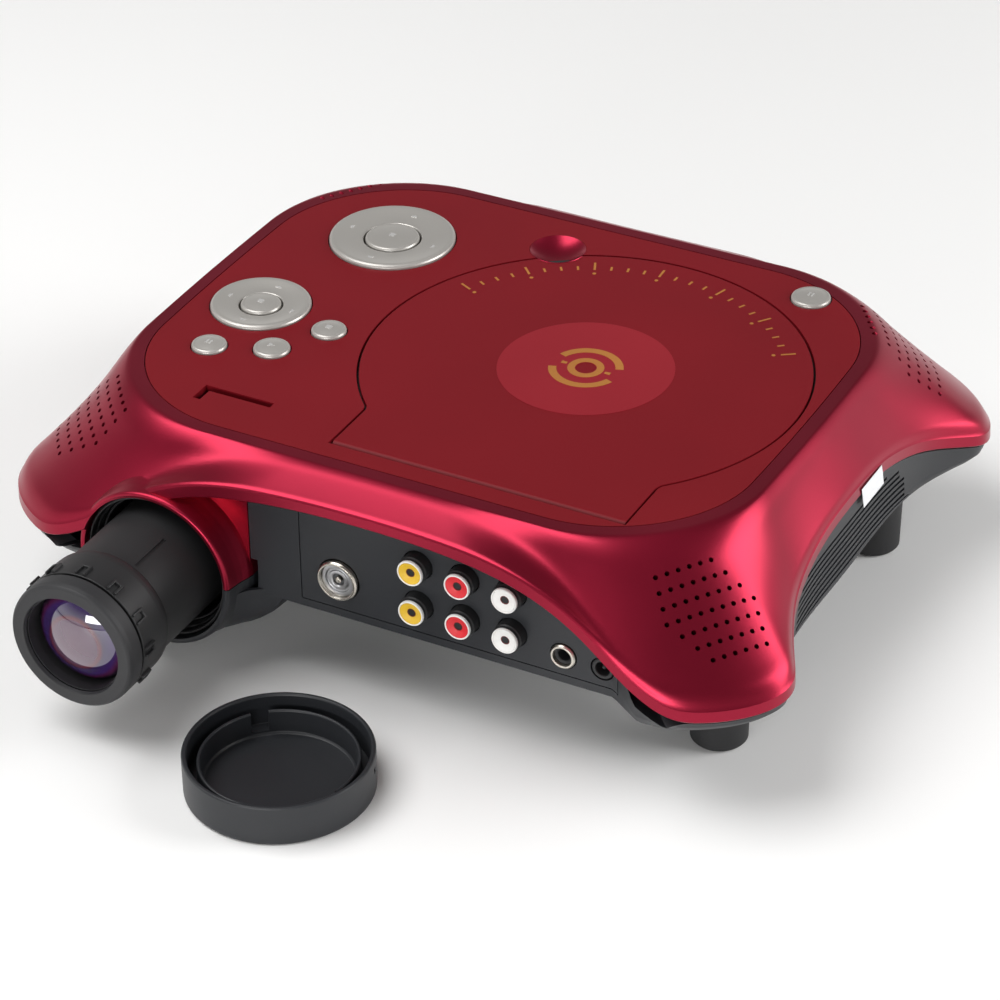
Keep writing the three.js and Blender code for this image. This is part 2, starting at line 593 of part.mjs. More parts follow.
// ---------------------------------------------------------------- light engine
function lightEngine() {
  const { x, z } = lens;
  const upright = (halfX, low, high, y0, y1) => box(x - halfX, x + halfX, y0, y1, z - low, z + high);
  const [finPitch, finGap] = [5.2, 3.2];
  const airGaps = Array.from({ length: 7 }, (_, i) => {
    const left = x - 18 + finPitch * i;
    return box(left, left + finGap, 1.5, 20, 20, 70);
  });
  const fan = { z: 46, r: 15.4, y0: 24, y1: 34 };
  const spokes = [45, 135].map((angle) => {
    return box(-17, 17, 31.8, fan.y1, -1, 1).rotate([0, angle, 0]).translate([x, 0, fan.z]);
  });
  const square = box(x - 17.5, x + 17.5, fan.y0, fan.y1, fan.z - 16.5, fan.z + 16);
  const frame = cut(square, lyingHole(x, fan.z, 20, 40, 15.6, 20));
  const blades = Array.from({ length: 7 }, (_, i) => {
    const blade = box(-0.6, 0.6, -4.2, 4.2, 6, fan.r - 0.6).rotate([0, 0, 38]);
    return blade.rotate([0, (360 * i) / 7, 0]).translate([x, 27.6, fan.z]);
  });
  return {
    picture_panel: cut(upright(17, 14, 14, -38, -34), upright(12.5, 9.5, 9.5, -39, -36.6)),
    condenser_lens: turnedAlongY([[0, -25], [7, -24.4], [12.5, -22], [12.5, -20], [0, -20]], x, z, 16),
    lamp_board: join(upright(11, 10, 14, -7, -5.4), rod(x, z, -9, -6.5, 4, 12)),
    heat_sink: cut(box(x - 19, x + 19, -3, 20, 29.6, 60), ...airGaps),
    fan_housing: join(frame, ...spokes, rod(x, fan.z, 31.8, fan.y1, 7.5, 12)),
    fan_rotor: join(rod(x, fan.z, 24.4, 31.2, 7.5, 14), ...blades),
  };
}

// ---------------------------------------------------------------- the model
const palette = {
  shellRed: [0x9c1230, 0.35, 0.5],
  panelRed: [0x7d1119, 0.3, 0.2],
  satinBlack: [0x232326, 0.5, 0],
  matteBlack: [0x161617, 0.65, 0],
  rubber: [0x141414, 0.85, 0],
  silver: [0xc9c5bf, 0.35, 0.7],
  steel: [0xa9abae, 0.3, 0.9],
  glass: [0x5b3a78, 0.05, 0],
  yellow: [0xe3b320, 0.4, 0],
  red: [0xc8202a, 0.4, 0],
  white: [0xece8e2, 0.4, 0],
  circuit: [0x1f5a35, 0.6, 0],
  grey: [0x6c6e72, 0.5, 0.2],
};

const projector = new THREE.Group();
projector.position.y = frameShiftY;

function add(name, manifold, tone) {
  const [color, roughness, metalness] = palette[tone];
  const material = new THREE.MeshStandardMaterial({ color, roughness, metalness });
  const mesh = new THREE.Mesh(geometryOf(manifold), material);
  mesh.name = name;
  projector.add(mesh);
}

function addAll(pieces, tones, otherwise) {
  for (const [name, manifold] of Object.entries(pieces)) add(name, manifold, tones[name] ?? otherwise);
}

add('upper_shell', upperShell(), 'shellRed');
add('top_panel', topPanel(), 'panelRed');
add('disc_lid', discLid(), 'panelRed');
add('lid_pin', lidPin(lid.pinR, lid.halfX + 2.2), 'steel');
add('bottom_shell', bottomShell(), 'satinBlack');
add('port_panel', portPanel(), 'satinBlack');
for (const [name, [x, y]] of Object.entries(footPlaces)) {
  const profile = [[0, 0], [foot.tipR - 0.8, 0], [foot.tipR, 0.8], [foot.r, baseZ - gap], [0, baseZ - gap]];
  add(`foot_${name}`, turned(profile, x, y, 14), 'rubber');
}
for (const [name, place] of Object.entries(keys)) add(name, key(place), 'silver');
for (const [row, z] of [['upper', jacks.highZ], ['lower', jacks.lowZ]]) {
  ['yellow', 'red', 'white'].forEach((tone, i) => {
    add(`jack_${tone}_${row}`, phonoJack(jacks.firstX + i * jacks.pitch, z), tone);
  });
}
add('antenna_jack', roundSocket(antenna, -87, 1.9, 5), 'steel');
add('phones_jack', roundSocket(phones, -86.3, 1.8, 5), 'steel');
add('power_inlet', roundSocket(powerInlet, -85.4, 1.6, 4), 'matteBlack');
add('card_reader', cardReader(), 'grey');
addAll(boards(), { power_switch: 'grey' }, 'circuit');
addAll(lensParts(), { front_lens: 'glass', rear_lens: 'glass' }, 'matteBlack');
add('lens_cap', lensCap(), 'matteBlack');
addAll(discDrive(), { disc_tray: 'matteBlack', turntable: 'matteBlack', sled_wheel: 'white' }, 'steel');
const engineTones = { condenser_lens: 'glass', fan_housing: 'matteBlack', fan_rotor: 'matteBlack' };
addAll(lightEngine(), engineTones, 'grey');
for (const [name, { x, y, r, backR, z0, z1 }] of Object.entries(speakers)) {
  const profile = [[0, z0], [backR, z0], [r, z1 - 3], [r, z1], [r - 3.2, z1 - 1.4], [0, z1 - 3]];
  add(name, turned(profile, x, y, 12), 'grey');
}
for (const [i, [x, y]] of caseScrews.entries()) {
  const { headR, z0, z1, slot } = screw;
  const head = turned([[0, z0], [headR - 0.4, z0], [headR, z0 + 0.6], [headR, z1], [0, z1]], x, y, 8);
  const groove = box(x - 1.6, x + 1.6, y - slot / 2, y + slot / 2, z0 - 1, z0 + 0.6);
  add(`case_screw_${i + 1}`, cut(head, groove), 'steel');
}

export default projector;
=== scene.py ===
import bmesh
import bpy
import json
import math
from mathutils import Matrix, Vector
from mathutils.bvhtree import BVHTree


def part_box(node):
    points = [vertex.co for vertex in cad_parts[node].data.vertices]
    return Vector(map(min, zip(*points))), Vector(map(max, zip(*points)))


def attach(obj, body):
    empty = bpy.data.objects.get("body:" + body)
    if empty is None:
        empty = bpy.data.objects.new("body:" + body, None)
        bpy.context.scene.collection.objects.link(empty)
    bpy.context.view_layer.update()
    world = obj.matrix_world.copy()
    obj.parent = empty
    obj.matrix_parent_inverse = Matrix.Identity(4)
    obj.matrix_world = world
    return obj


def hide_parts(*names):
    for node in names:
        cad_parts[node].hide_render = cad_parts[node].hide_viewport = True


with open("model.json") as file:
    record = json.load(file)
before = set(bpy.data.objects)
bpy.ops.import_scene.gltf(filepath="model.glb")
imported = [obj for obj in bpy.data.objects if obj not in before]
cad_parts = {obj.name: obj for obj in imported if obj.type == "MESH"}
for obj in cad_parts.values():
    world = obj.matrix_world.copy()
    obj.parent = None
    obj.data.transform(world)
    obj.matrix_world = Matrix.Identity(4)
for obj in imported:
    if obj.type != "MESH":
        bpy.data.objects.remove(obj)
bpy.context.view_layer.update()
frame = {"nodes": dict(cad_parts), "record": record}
print("frame loaded")

mm = 0.001
# sizes below are in millimetres from the middle of the lip, which lies halfway between the right feet
originY = (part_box("foot_fr")[0].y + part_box("foot_br")[1].y) / 2
topZ = round(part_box("top_panel")[1].z / mm, 2)


def at(x, y, z):
    return Vector((x * mm, y * mm + originY, z * mm))


# camera, floor and light
cameraPlan = {
    "place": (444.7, -836.3, 638.4), "azimuth": 28.17, "elevation": 33.17, "roll": -0.77, "lens": 135.67,
}


def addCamera(plan):
    data = bpy.data.cameras.new("camera")
    data.lens = plan["lens"]
    data.sensor_width = 36
    data.clip_end = 20
    camera = bpy.data.objects.new("camera", data)
    bpy.context.scene.collection.objects.link(camera)
    turn = Matrix.Rotation(math.radians(plan["azimuth"]), 4, "Z")
    tilt = Matrix.Rotation(math.radians(90 - plan["elevation"]), 4, "X")
    roll = Matrix.Rotation(math.radians(plan["roll"]), 4, "Z")
    camera.matrix_world = Matrix.Translation(at(*plan["place"])) @ turn @ tilt @ roll
    bpy.context.scene.camera = camera


lightPlan = {
    # place and aim in millimetres, size in metres, power in watts
    "overheadSoftbox": {"place": (-480, -300, 1056), "aim": (0, 0, 40), "size": (0.9, 0.9), "power": 11},
    "rightSoftbox": {"place": (1010, 420, 560), "aim": (60, 0, 40), "size": (0.7, 0.7), "power": 9},
    "lowSoftbox": {"place": (150, -1200, 290), "aim": (-65, -130, 32), "size": (0.8, 0.22), "power": 5},
}
# brightness of the surroundings by height: 0 is straight down and 1 straight up
worldPlan = {
    "steps": ((0.0, 0.9), (0.55, 0.9), (0.68, 0.2), (1.0, 0.14)), "tint": (1.0, 0.99, 0.98), "strength": 1.0,
}
floorPlan = {"size": 12, "color": (0.97, 0.967, 0.96, 1), "roughness": 0.55}


def addLights():
    for name, plan in lightPlan.items():
        data = bpy.data.lights.new(name, "AREA")
        data.shape = "RECTANGLE"
        data.size, data.size_y = plan["size"]
        data.energy = plan["power"]
        light = bpy.data.objects.new(name, data)
        bpy.context.scene.collection.objects.link(light)
        place, aim = at(*plan["place"]), at(*plan["aim"])
        light.location = place
        light.rotation_euler = (aim - place).to_track_quat("-Z", "Y").to_euler()
    world = bpy.data.worlds.new("studio")
    world.use_nodes = True
    background = world.node_tree.nodes["Background"]
    background.inputs["Strength"].default_value = worldPlan["strength"]
    nodes, links = world.node_tree.nodes, world.node_tree.links
    direction = nodes.new("ShaderNodeTexCoord")
    split = nodes.new("ShaderNodeSeparateXYZ")
    height = nodes.new("ShaderNodeMapRange")
    height.inputs["From Min"].default_value = -1
    ramp = nodes.new("ShaderNodeValToRGB")
    elements = ramp.color_ramp.elements
    while len(elements) < len(worldPlan["steps"]):
        elements.new(0.5)
    for element, (position, bright) in zip(elements, worldPlan["steps"]):
        element.position = position
        element.color = tuple(c * bright for c in worldPlan["tint"]) + (1,)
    links.new(direction.outputs["Generated"], split.inputs["Vector"])
    links.new(split.outputs["Z"], height.inputs["Value"])
    links.new(height.outputs["Result"], ramp.inputs["Fac"])
    links.new(ramp.outputs["Color"], background.inputs["Color"])
    bpy.context.scene.world = world
    bpy.context.scene.view_settings.view_transform = "Standard"


def addFloor():
    half = floorPlan["size"] / 2
    mesh = bpy.data.meshes.new("floor")
    corners = [(-half, -half, -0.0002), (half, -half, -0.0002), (half, half, -0.0002), (-half, half, -0.0002)]
    mesh.from_pydata(corners, [], [(0, 1, 2, 3)])
    floor = bpy.data.objects.new("floor", mesh)
    bpy.context.scene.collection.objects.link(floor)
    material = bpy.data.materials.new("paleFloor")
    material.use_nodes = True
    shader = material.node_tree.nodes["Principled BSDF"]
    shader.inputs["Base Color"].default_value = floorPlan["color"]
    shader.inputs["Roughness"].default_value = floorPlan["roughness"]
    shader.inputs["Specular IOR Level"].default_value = 0.2
    mesh.materials.append(material)


addCamera(cameraPlan)
addLights()
addFloor()
print("camera, light and floor set")

# materials: colour, how far it varies, grain size per metre, roughness low and high, bump, shader extras
finishes = {
    "shell_red": {"color": (0.33, 0.009, 0.034), "vary": 0.1, "grain": 2600, "rough": (0.28, 0.34),
                  "bump": 0.035, "extras": {"Metallic": 0.85, "Coat Weight": 0.12, "Coat Roughness": 0.25}},
    "panel_red": {"color": (0.18, 0.005, 0.01), "vary": 0.06, "grain": 1800, "rough": (0.42, 0.48),
                  "bump": 0.02, "extras": {"Specular IOR Level": 0.15}},
    "satin_black": {"color": (0.017, 0.0185, 0.022), "vary": 0.12, "grain": 1500, "rough": (0.4, 0.5),
                    "bump": 0.12, "extras": {}},
    "matte_black": {"color": (0.013, 0.013, 0.014), "vary": 0.15, "grain": 1900, "rough": (0.42, 0.54),
                    "bump": 0.1, "extras": {}},
    "rubber_black": {"color": (0.017, 0.017, 0.018), "vary": 0.15, "grain": 900, "rough": (0.6, 0.72),
                     "bump": 0.16, "extras": {}},
    "silver_key": {"color": (0.5, 0.48, 0.45), "vary": 0.05, "grain": 3000, "rough": (0.32, 0.38),
                   "bump": 0.03, "extras": {"Metallic": 0.5}},
    "steel": {"color": (0.56, 0.56, 0.57), "vary": 0.08, "grain": 1400, "rough": (0.24, 0.36),
              "bump": 0.04, "extras": {"Metallic": 1.0}},
    "nickel": {"color": (0.66, 0.62, 0.55), "vary": 0.08, "grain": 2200, "rough": (0.2, 0.3),
               "bump": 0.03, "extras": {"Metallic": 1.0}},
    "lens_glass": {"color": (0.03, 0.012, 0.07), "vary": 0.05, "grain": 300, "rough": (0.03, 0.05),
                   "bump": 0.0, "extras": {"Coat Weight": 1.0, "Coat Roughness": 0.02}},
    "jack_yellow": {"color": (0.76, 0.47, 0.03), "vary": 0.06, "grain": 1200, "rough": (0.3, 0.38),
                    "bump": 0.03, "extras": {"Subsurface Weight": 0.05}},
    "jack_red": {"color": (0.68, 0.02, 0.03), "vary": 0.06, "grain": 1200, "rough": (0.3, 0.38),
                 "bump": 0.03, "extras": {"Subsurface Weight": 0.05}},
    "jack_white": {"color": (0.84, 0.82, 0.79), "vary": 0.04, "grain": 1200, "rough": (0.3, 0.38),
                   "bump": 0.03, "extras": {"Subsurface Weight": 0.05}},
    "circuit_green": {"color": (0.015, 0.11, 0.04), "vary": 0.2, "grain": 500, "rough": (0.4, 0.55),
                      "bump": 0.08, "extras": {}},
    "grey_plastic": {"color": (0.11, 0.115, 0.125), "vary": 0.1, "grain": 1300, "rough": (0.45, 0.55),
                     "bump": 0.08, "extras": {}},
    "heat_aluminium": {"color": (0.62, 0.63, 0.64), "vary": 0.08, "grain": 900, "rough": (0.3, 0.42),
                       "bump": 0.05, "extras": {"Metallic": 1.0}},
    "white_plastic": {"color": (0.8, 0.8, 0.77), "vary": 0.05, "grain": 1100, "rough": (0.4, 0.5),
                      "bump": 0.04, "extras": {}},
    "goldPrint": {"color": (0.44, 0.17, 0.03), "vary": 0.12, "grain": 2600, "rough": (0.4, 0.5),
                  "bump": 0.05, "extras": {"Metallic": 0.1}},
    "discRed": {"color": (0.27, 0.008, 0.017), "vary": 0.06, "grain": 1800, "rough": (0.38, 0.44),
                "bump": 0.02, "extras": {"Specular IOR Level": 0.3}},
    # painted highlight: the raised key signs are coloured brighter than the key
    "glintMark": {"color": (0.86, 0.85, 0.83), "vary": 0.05, "grain": 2600, "rough": (0.2, 0.28),
                "bump": 0.02, "extras": {"Metallic": 0.6}},
    "faceGrey": {"color": (0.02, 0.02, 0.022), "vary": 0.12, "grain": 1700, "rough": (0.5, 0.6),
                 "bump": 0.1, "extras": {}},
    "sealWhite": {"color": (0.82, 0.83, 0.85), "vary": 0.05, "grain": 700, "rough": (0.4, 0.5),
                  "bump": 0.05, "extras": {}},
    "socketDark": {"color": (0.14, 0.008, 0.006), "vary": 0.1, "grain": 900, "rough": (0.35, 0.5),
                   "bump": 0.05, "extras": {}},
}


def makeFinish(name, plan):
    material = bpy.data.materials.new(name)
    material.use_nodes = True
    nodes, links = material.node_tree.nodes, material.node_tree.links
    shader = nodes["Principled BSDF"]
    place = nodes.new("ShaderNodeTexCoord")
    grain = nodes.new("ShaderNodeTexNoise")
    grain.inputs["Scale"].default_value = plan["grain"]
    grain.inputs["Detail"].default_value = 3
    links.new(place.outputs["Object"], grain.inputs["Vector"])
    cloud = nodes.new("ShaderNodeTexNoise")
    cloud.inputs["Scale"].default_value = 22
    cloud.inputs["Detail"].default_value = 2
    links.new(place.outputs["Object"], cloud.inputs["Vector"])
    ramp = nodes.new("ShaderNodeValToRGB")
    stops = ((1 - plan["vary"], 0.32), (1 + plan["vary"], 0.68))  # darker below, lighter above
    for stop, (factor, position) in zip(ramp.color_ramp.elements, stops):
        stop.position = position
        stop.color = tuple(min(1, c * factor) for c in plan["color"]) + (1,)
    both = nodes.new("ShaderNodeMath")
    both.operation = "MULTIPLY_ADD"
    both.inputs[1].default_value = 0.35
    links.new(grain.outputs["Fac"], both.inputs[0])
    scaled = nodes.new("ShaderNodeMath")
    scaled.operation = "MULTIPLY"
    scaled.inputs[1].default_value = 0.65
    links.new(cloud.outputs["Fac"], scaled.inputs[0])
    links.new(scaled.outputs[0], both.inputs[2])
    links.new(both.outputs[0], ramp.inputs["Fac"])
    links.new(ramp.outputs["Color"], shader.inputs["Base Color"])
    spread = nodes.new("ShaderNodeMapRange")
    spread.inputs["From Min"].default_value = 0.3
    spread.inputs["From Max"].default_value = 0.7
    spread.inputs["To Min"].default_value = plan["rough"][0]
    spread.inputs["To Max"].default_value = plan["rough"][1]
    links.new(cloud.outputs["Fac"], spread.inputs["Value"])
    links.new(spread.outputs["Result"], shader.inputs["Roughness"])
    if plan["bump"]:
        bump = nodes.new("ShaderNodeBump")
        bump.inputs["Strength"].default_value = plan["bump"]
        bump.inputs["Distance"].default_value = 0.0002
        links.new(grain.outputs["Fac"], bump.inputs["Height"])
        links.new(bump.outputs["Normal"], shader.inputs["Normal"])
    for socket, value in plan["extras"].items():
        shader.inputs[socket].default_value = value
    return material


materials = {name: makeFinish(name, plan) for name, plan in finishes.items()}
print("materials made")


# mesh helpers
def addObject(name, mesh):
    piece = bpy.data.objects.new(name, mesh)
    bpy.context.scene.collection.objects.link(piece)
    return piece


def meshFrom(name, points, faces):
    mesh = bpy.data.meshes.new(name)
    mesh.from_pydata(points, [], faces)
    work = bmesh.new()
    work.from_mesh(mesh)
    bmesh.ops.remove_doubles(work, verts=work.verts, dist=1e-6)
    bmesh.ops.dissolve_degenerate(work, edges=work.edges, dist=1e-7)
    bmesh.ops.recalc_face_normals(work, faces=work.faces)
    work.to_mesh(mesh)
    work.free()
    return addObject(name, mesh)


def boxPiece(x0, x1, y0, y1, z0, z1, name="cutter"):
    corners = [at(x, y, z) for z in (z0, z1) for x, y in ((x0, y0), (x1, y0), (x1, y1), (x0, y1))]
    sides = [(i, (i + 1) % 4, (i + 1) % 4 + 4, i + 4) for i in range(4)]
    return meshFrom(name, corners, [(3, 2, 1, 0), (4, 5, 6, 7)] + sides)


def rounded(profile, radius, steps=4, loop=True):
    out = []
    count = len(profile)
    for i, corner in enumerate(profile):
        if not loop and i in (0, count - 1):
            out.append(corner)
            continue
        here = Vector(corner)
        before, after = Vector(profile[i - 1]), Vector(profile[(i + 1) % count])
        toBefore, toAfter = before - here, after - here
        reach = min(radius, toBefore.length * 0.45, toAfter.length * 0.45)
        a = here + toBefore.normalized() * reach
        b = here + toAfter.normalized() * reach
        for k in range(steps + 1):
            t = k / steps
            out.append(tuple((1 - t) ** 2 * a + 2 * t * (1 - t) * here + t * t * b))
    return out


def turned(name, profile, x=0.0, y=0.0, z=0.0, axis="Z", sides=96, soften=0.25, loop=True):
    # profile: radius and distance along the axis; loop says that it closes on itself and not on the axis
    outline = rounded(profile, soften, loop=loop) if soften else list(profile)
    points, faces = [], []
    count = len(outline)
    for i in range(sides):
        angle = 2 * math.pi * i / sides
        for r, along in outline:
            a, b = r * math.cos(angle), r * math.sin(angle)
            points.append(at(x + a, y + b, along) if axis == "Z" else at(x + a, along, z + b))
    for i in range(sides):
        j = (i + 1) % sides
        for k in range(count if loop else count - 1):
            m = (k + 1) % count
            faces.append((i * count + k, j * count + k, j * count + m, i * count + m))
    return meshFrom(name, points, faces)


def loft(name, rings, lowZ=None, highZ=None):
    count = len(rings[0])
    points = [Vector(p) for ring in rings for p in ring]
    faces = []
    for k in range(len(rings) - 1):
        for i in range(count):
            j = (i + 1) % count
            faces.append((k * count + i, k * count + j, (k + 1) * count + j, (k + 1) * count + i))
    for ring, z, base in ((rings[0], lowZ, 0), (rings[-1], highZ, (len(rings) - 1) * count)):
        middle = sum((Vector(p) for p in ring), Vector()) / count
        if z is not None:
            middle.z = z
        points.append(middle)
        hub = len(points) - 1
        faces += [(hub, base + (i + 1) % count, base + i) for i in range(count)]
    return meshFrom(name, [at(*p) for p in points], faces)


def plate(name, outline, z0, z1):
    count = len(outline)
    points = [at(x, y, z0) for x, y in outline] + [at(x, y, z1) for x, y in outline]
    sides = [(i, (i + 1) % count, (i + 1) % count + count, i + count) for i in range(count)]
    return meshFrom(name, points, [tuple(range(count))[::-1], tuple(range(count, 2 * count))] + sides)


def bakeModifiers(piece):
    graph = bpy.context.evaluated_depsgraph_get()
    mesh = bpy.data.meshes.new_from_object(piece.evaluated_get(graph))
    piece.modifiers.clear()
    piece.data = mesh
    return piece


def combine(target, other, operation):
    modifier = target.modifiers.new("combine", "BOOLEAN")
    modifier.operation = operation
    modifier.object = other
    modifier.solver = "MANIFOLD"
    bakeModifiers(target)
    bpy.data.objects.remove(other)
    if not target.data.polygons:
        raise RuntimeError(f"{target.name} vanished in a boolean")
    return target


def cut(target, *cutters):
    for cutter in cutters:
        combine(target, cutter, "DIFFERENCE")
    return target


def join(target, *others):
    for other in others:
        combine(target, other, "UNION")
    return target


def keep(target, other):
    return combine(target, other, "INTERSECT")


def copyOf(piece, name):
    return addObject(name, piece.data.copy())


def bevelled(piece, width, angle=40, segments=2):
    modifier = piece.modifiers.new("softEdge", "BEVEL")
    modifier.width = width * mm
    modifier.segments = segments
    modifier.limit_method = "ANGLE"
    modifier.angle_limit = math.radians(angle)
    return bakeModifiers(piece)


def finish(piece, finishName, body, replaces=(), smooth=35):
    piece.data.materials.clear()
    piece.data.materials.append(materials[finishName])
    piece.data.shade_smooth()
    piece.data.set_sharp_from_angle(angle=math.radians(smooth))
    evenShade = piece.modifiers.new("evenShade", "WEIGHTED_NORMAL")
    evenShade.keep_sharp = True
    bakeModifiers(piece)
    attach(piece, body)
    if replaces:
        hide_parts(*replaces)
    return piece


# Geometry Nodes: small solids stood on points, square to the surface there
def standingTree():
    tree = bpy.data.node_groups.new("standOnPoints", "GeometryNodeTree")
    tree.interface.new_socket("Geometry", in_out="INPUT", socket_type="NodeSocketGeometry")
    for label, value in (("Radius", 0.001), ("Tip Radius", 0.001), ("Depth", 0.01)):
        socket = tree.interface.new_socket(label, in_out="INPUT", socket_type="NodeSocketFloat")
        socket.default_value = value
    sides = tree.interface.new_socket("Sides", in_out="INPUT", socket_type="NodeSocketInt")
    sides.default_value = 12
    tree.interface.new_socket("Material", in_out="INPUT", socket_type="NodeSocketMaterial")
    tree.interface.new_socket("Geometry", in_out="OUTPUT", socket_type="NodeSocketGeometry")
    nodes, links = tree.nodes, tree.links
    start, end = nodes.new("NodeGroupInput"), nodes.new("NodeGroupOutput")
    cone = nodes.new("GeometryNodeMeshCone")
    facing = nodes.new("GeometryNodeInputNamedAttribute")
    facing.data_type = "FLOAT_VECTOR"
    facing.inputs["Name"].default_value = "facing"
    align = nodes.new("FunctionNodeAlignRotationToVector")
    align.axis = "Z"
    stand = nodes.new("GeometryNodeInstanceOnPoints")
    real = nodes.new("GeometryNodeRealizeInstances")
    paint = nodes.new("GeometryNodeSetMaterial")
    links.new(start.outputs["Sides"], cone.inputs["Vertices"])
    links.new(start.outputs["Radius"], cone.inputs["Radius Bottom"])
    links.new(start.outputs["Tip Radius"], cone.inputs["Radius Top"])
    links.new(start.outputs["Depth"], cone.inputs["Depth"])
    links.new(facing.outputs["Attribute"], align.inputs["Vector"])
    links.new(start.outputs["Geometry"], stand.inputs["Points"])
    links.new(cone.outputs["Mesh"], stand.inputs["Instance"])
    links.new(align.outputs["Rotation"], stand.inputs["Rotation"])
    links.new(stand.outputs["Instances"], real.inputs["Geometry"])
    links.new(real.outputs["Geometry"], paint.inputs["Geometry"])
    links.new(start.outputs["Material"], paint.inputs["Material"])
    links.new(paint.outputs["Geometry"], end.inputs["Geometry"])
    return tree


# Geometry Nodes: one solid repeated round an axis, a full turn or part of one
def ringTree():
    tree = bpy.data.node_groups.new("repeatRound", "GeometryNodeTree")
    tree.interface.new_socket("Geometry", in_out="INPUT", socket_type="NodeSocketGeometry")
    count = tree.interface.new_socket("Count", in_out="INPUT", socket_type="NodeSocketInt")
    count.default_value = 12
    for label in ("Centre", "Turn Axis"):
        tree.interface.new_socket(label, in_out="INPUT", socket_type="NodeSocketVector")
    for label in ("First Angle", "Step Angle"):
        tree.interface.new_socket(label, in_out="INPUT", socket_type="NodeSocketFloat")
    tree.interface.new_socket("Material", in_out="INPUT", socket_type="NodeSocketMaterial")
    tree.interface.new_socket("Geometry", in_out="OUTPUT", socket_type="NodeSocketGeometry")
    nodes, links = tree.nodes, tree.links
    start, end = nodes.new("NodeGroupInput"), nodes.new("NodeGroupOutput")
    line = nodes.new("GeometryNodeMeshLine")
    line.mode = "OFFSET"
    line.inputs["Offset"].default_value = (0, 0, 0)
    put = nodes.new("GeometryNodeSetPosition")
    index = nodes.new("GeometryNodeInputIndex")
    angle = nodes.new("ShaderNodeMath")
    angle.operation = "MULTIPLY_ADD"
    turn = nodes.new("FunctionNodeAxisAngleToRotation")
    stand = nodes.new("GeometryNodeInstanceOnPoints")
    real = nodes.new("GeometryNodeRealizeInstances")
    paint = nodes.new("GeometryNodeSetMaterial")
    links.new(start.outputs["Count"], line.inputs["Count"])
    links.new(line.outputs["Mesh"], put.inputs["Geometry"])
    links.new(start.outputs["Centre"], put.inputs["Offset"])
    links.new(index.outputs["Index"], angle.inputs[0])
    links.new(start.outputs["Step Angle"], angle.inputs[1])
    links.new(start.outputs["First Angle"], angle.inputs[2])
    links.new(angle.outputs[0], turn.inputs["Angle"])
    links.new(start.outputs["Turn Axis"], turn.inputs["Axis"])
    links.new(put.outputs["Geometry"], stand.inputs["Points"])
    links.new(start.outputs["Geometry"], stand.inputs["Instance"])
    links.new(turn.outputs["Rotation"], stand.inputs["Rotation"])
    links.new(stand.outputs["Instances"], real.inputs["Geometry"])
    links.new(real.outputs["Geometry"], paint.inputs["Geometry"])
    links.new(start.outputs["Material"], paint.inputs["Material"])
    links.new(paint.outputs["Geometry"], end.inputs["Geometry"])
    return tree


def runTree(piece, tree, values):
    modifier = piece.modifiers.new(tree.name, "NODES")
    modifier.node_group = tree
    for item in tree.interface.items_tree:
        if item.in_out == "INPUT" and item.name in values:
            modifier[item.identifier] = values[item.name]
    return bakeModifiers(piece)


standing, repeating = standingTree(), ringTree()


def standOn(name, places, radius, depth, finishName, tip=None, sides=10):
    mesh = bpy.data.meshes.new(name)
    mesh.from_pydata([p for p, _ in places], [], [])
    attribute = mesh.attributes.new("facing", "FLOAT_VECTOR", "POINT")
    attribute.data.foreach_set("vector", [c for _, n in places for c in n])
    piece = addObject(name, mesh)
    tip = radius if tip is None else tip
    values = {"Radius": radius * mm, "Tip Radius": tip * mm, "Depth": depth * mm, "Sides": sides,
              "Material": materials[finishName]}
    return runTree(piece, standing, values)


def repeatRound(piece, count, centre, axis, finishName, first=0.0, step=None):
    # piece is built about the origin of the axis, and repeated about centre; angles are in degrees
    step = 360 / count if step is None else step
    values = {"Count": count, "Centre": centre, "Turn Axis": axis, "Material": materials[finishName],
              "First Angle": math.radians(first), "Step Angle": math.radians(step)}
    return runTree(piece, repeating, values)


# outlines of the housing, in millimetres from the middle of the flat top
top = {"halfX": 97.2, "halfY": 79.5, "corner": 45.0, "bulge": 3.0, "shiftX": -2.7, "shiftY": 2.6}
lipQuarter = [
    (110.5, 0, 50), (110.5, 20, 48.8), (112, 38, 45), (115.2, 51, 41), (121, 63, 36.6), (124.5, 70, 34.6),
    (122.6, 78.5, 33.6), (116.5, 86.5, 33.3), (108.7, 92.6, 33.3), (100, 97, 34), (90, 97, 38),
    (80, 95.6, 44), (68, 94, 52.4), (50, 92.8, 60), (25, 91, 62.6), (0, 90.4, 63),
]
topRun = [0, 14, 27, 40, 52, 60, 68, 76, 84, 92, 100, 108, 117, 129, 143, 157.4]
flare = [(0, 0), (0.07, 0.015), (0.2, 0.12), (0.36, 0.3), (0.6, 0.55), (0.82, 0.77), (0.94, 0.89), (1, 1)]
flareInside = [  # out, down, inset and drop from the outside
    (0, 0, 1.5, 4.2), (0.2, 0.12, 2.6, 2.6), (0.36, 0.3, 3.1, 0), (0.82, 0.77, 2.9, 0), (1, 1, 2.2, 0),
]
ringPlan = {"between": 6, "smooth": 10, "bandHeight": 4.2, "bandInset": 0.5}
portWall = {"y": -85.3, "x0": -21.5, "x1": 79.0, "thick": 2.6}
base = {"z": 27.0, "floorTop": 29.2, "seam": 0.7, "steepSeam": 2.2}
lens = {"x": -65.2, "z": 32.0, "frontY": -138.5, "collarY": -95.4, "boreR": 23.4}
lid = {
    "x": 24.5, "y": 2.3, "r": 66.0, "halfX": 46.0, "hingeY": -64.2, "edgeR": 1.9, "thick": 1.9, "fillet": 5.0,
}
lid["frontY"] = lid["hingeY"] - lid["edgeR"]


def allRound(quarter):
    back = quarter[::-1]
    return (list(quarter) + [(-x, y, z) for x, y, z in back[1:]] + [(-x, -y, z) for x, y, z in quarter[1:]]
            + [(x, -y, z) for x, y, z in back[1:-1]])


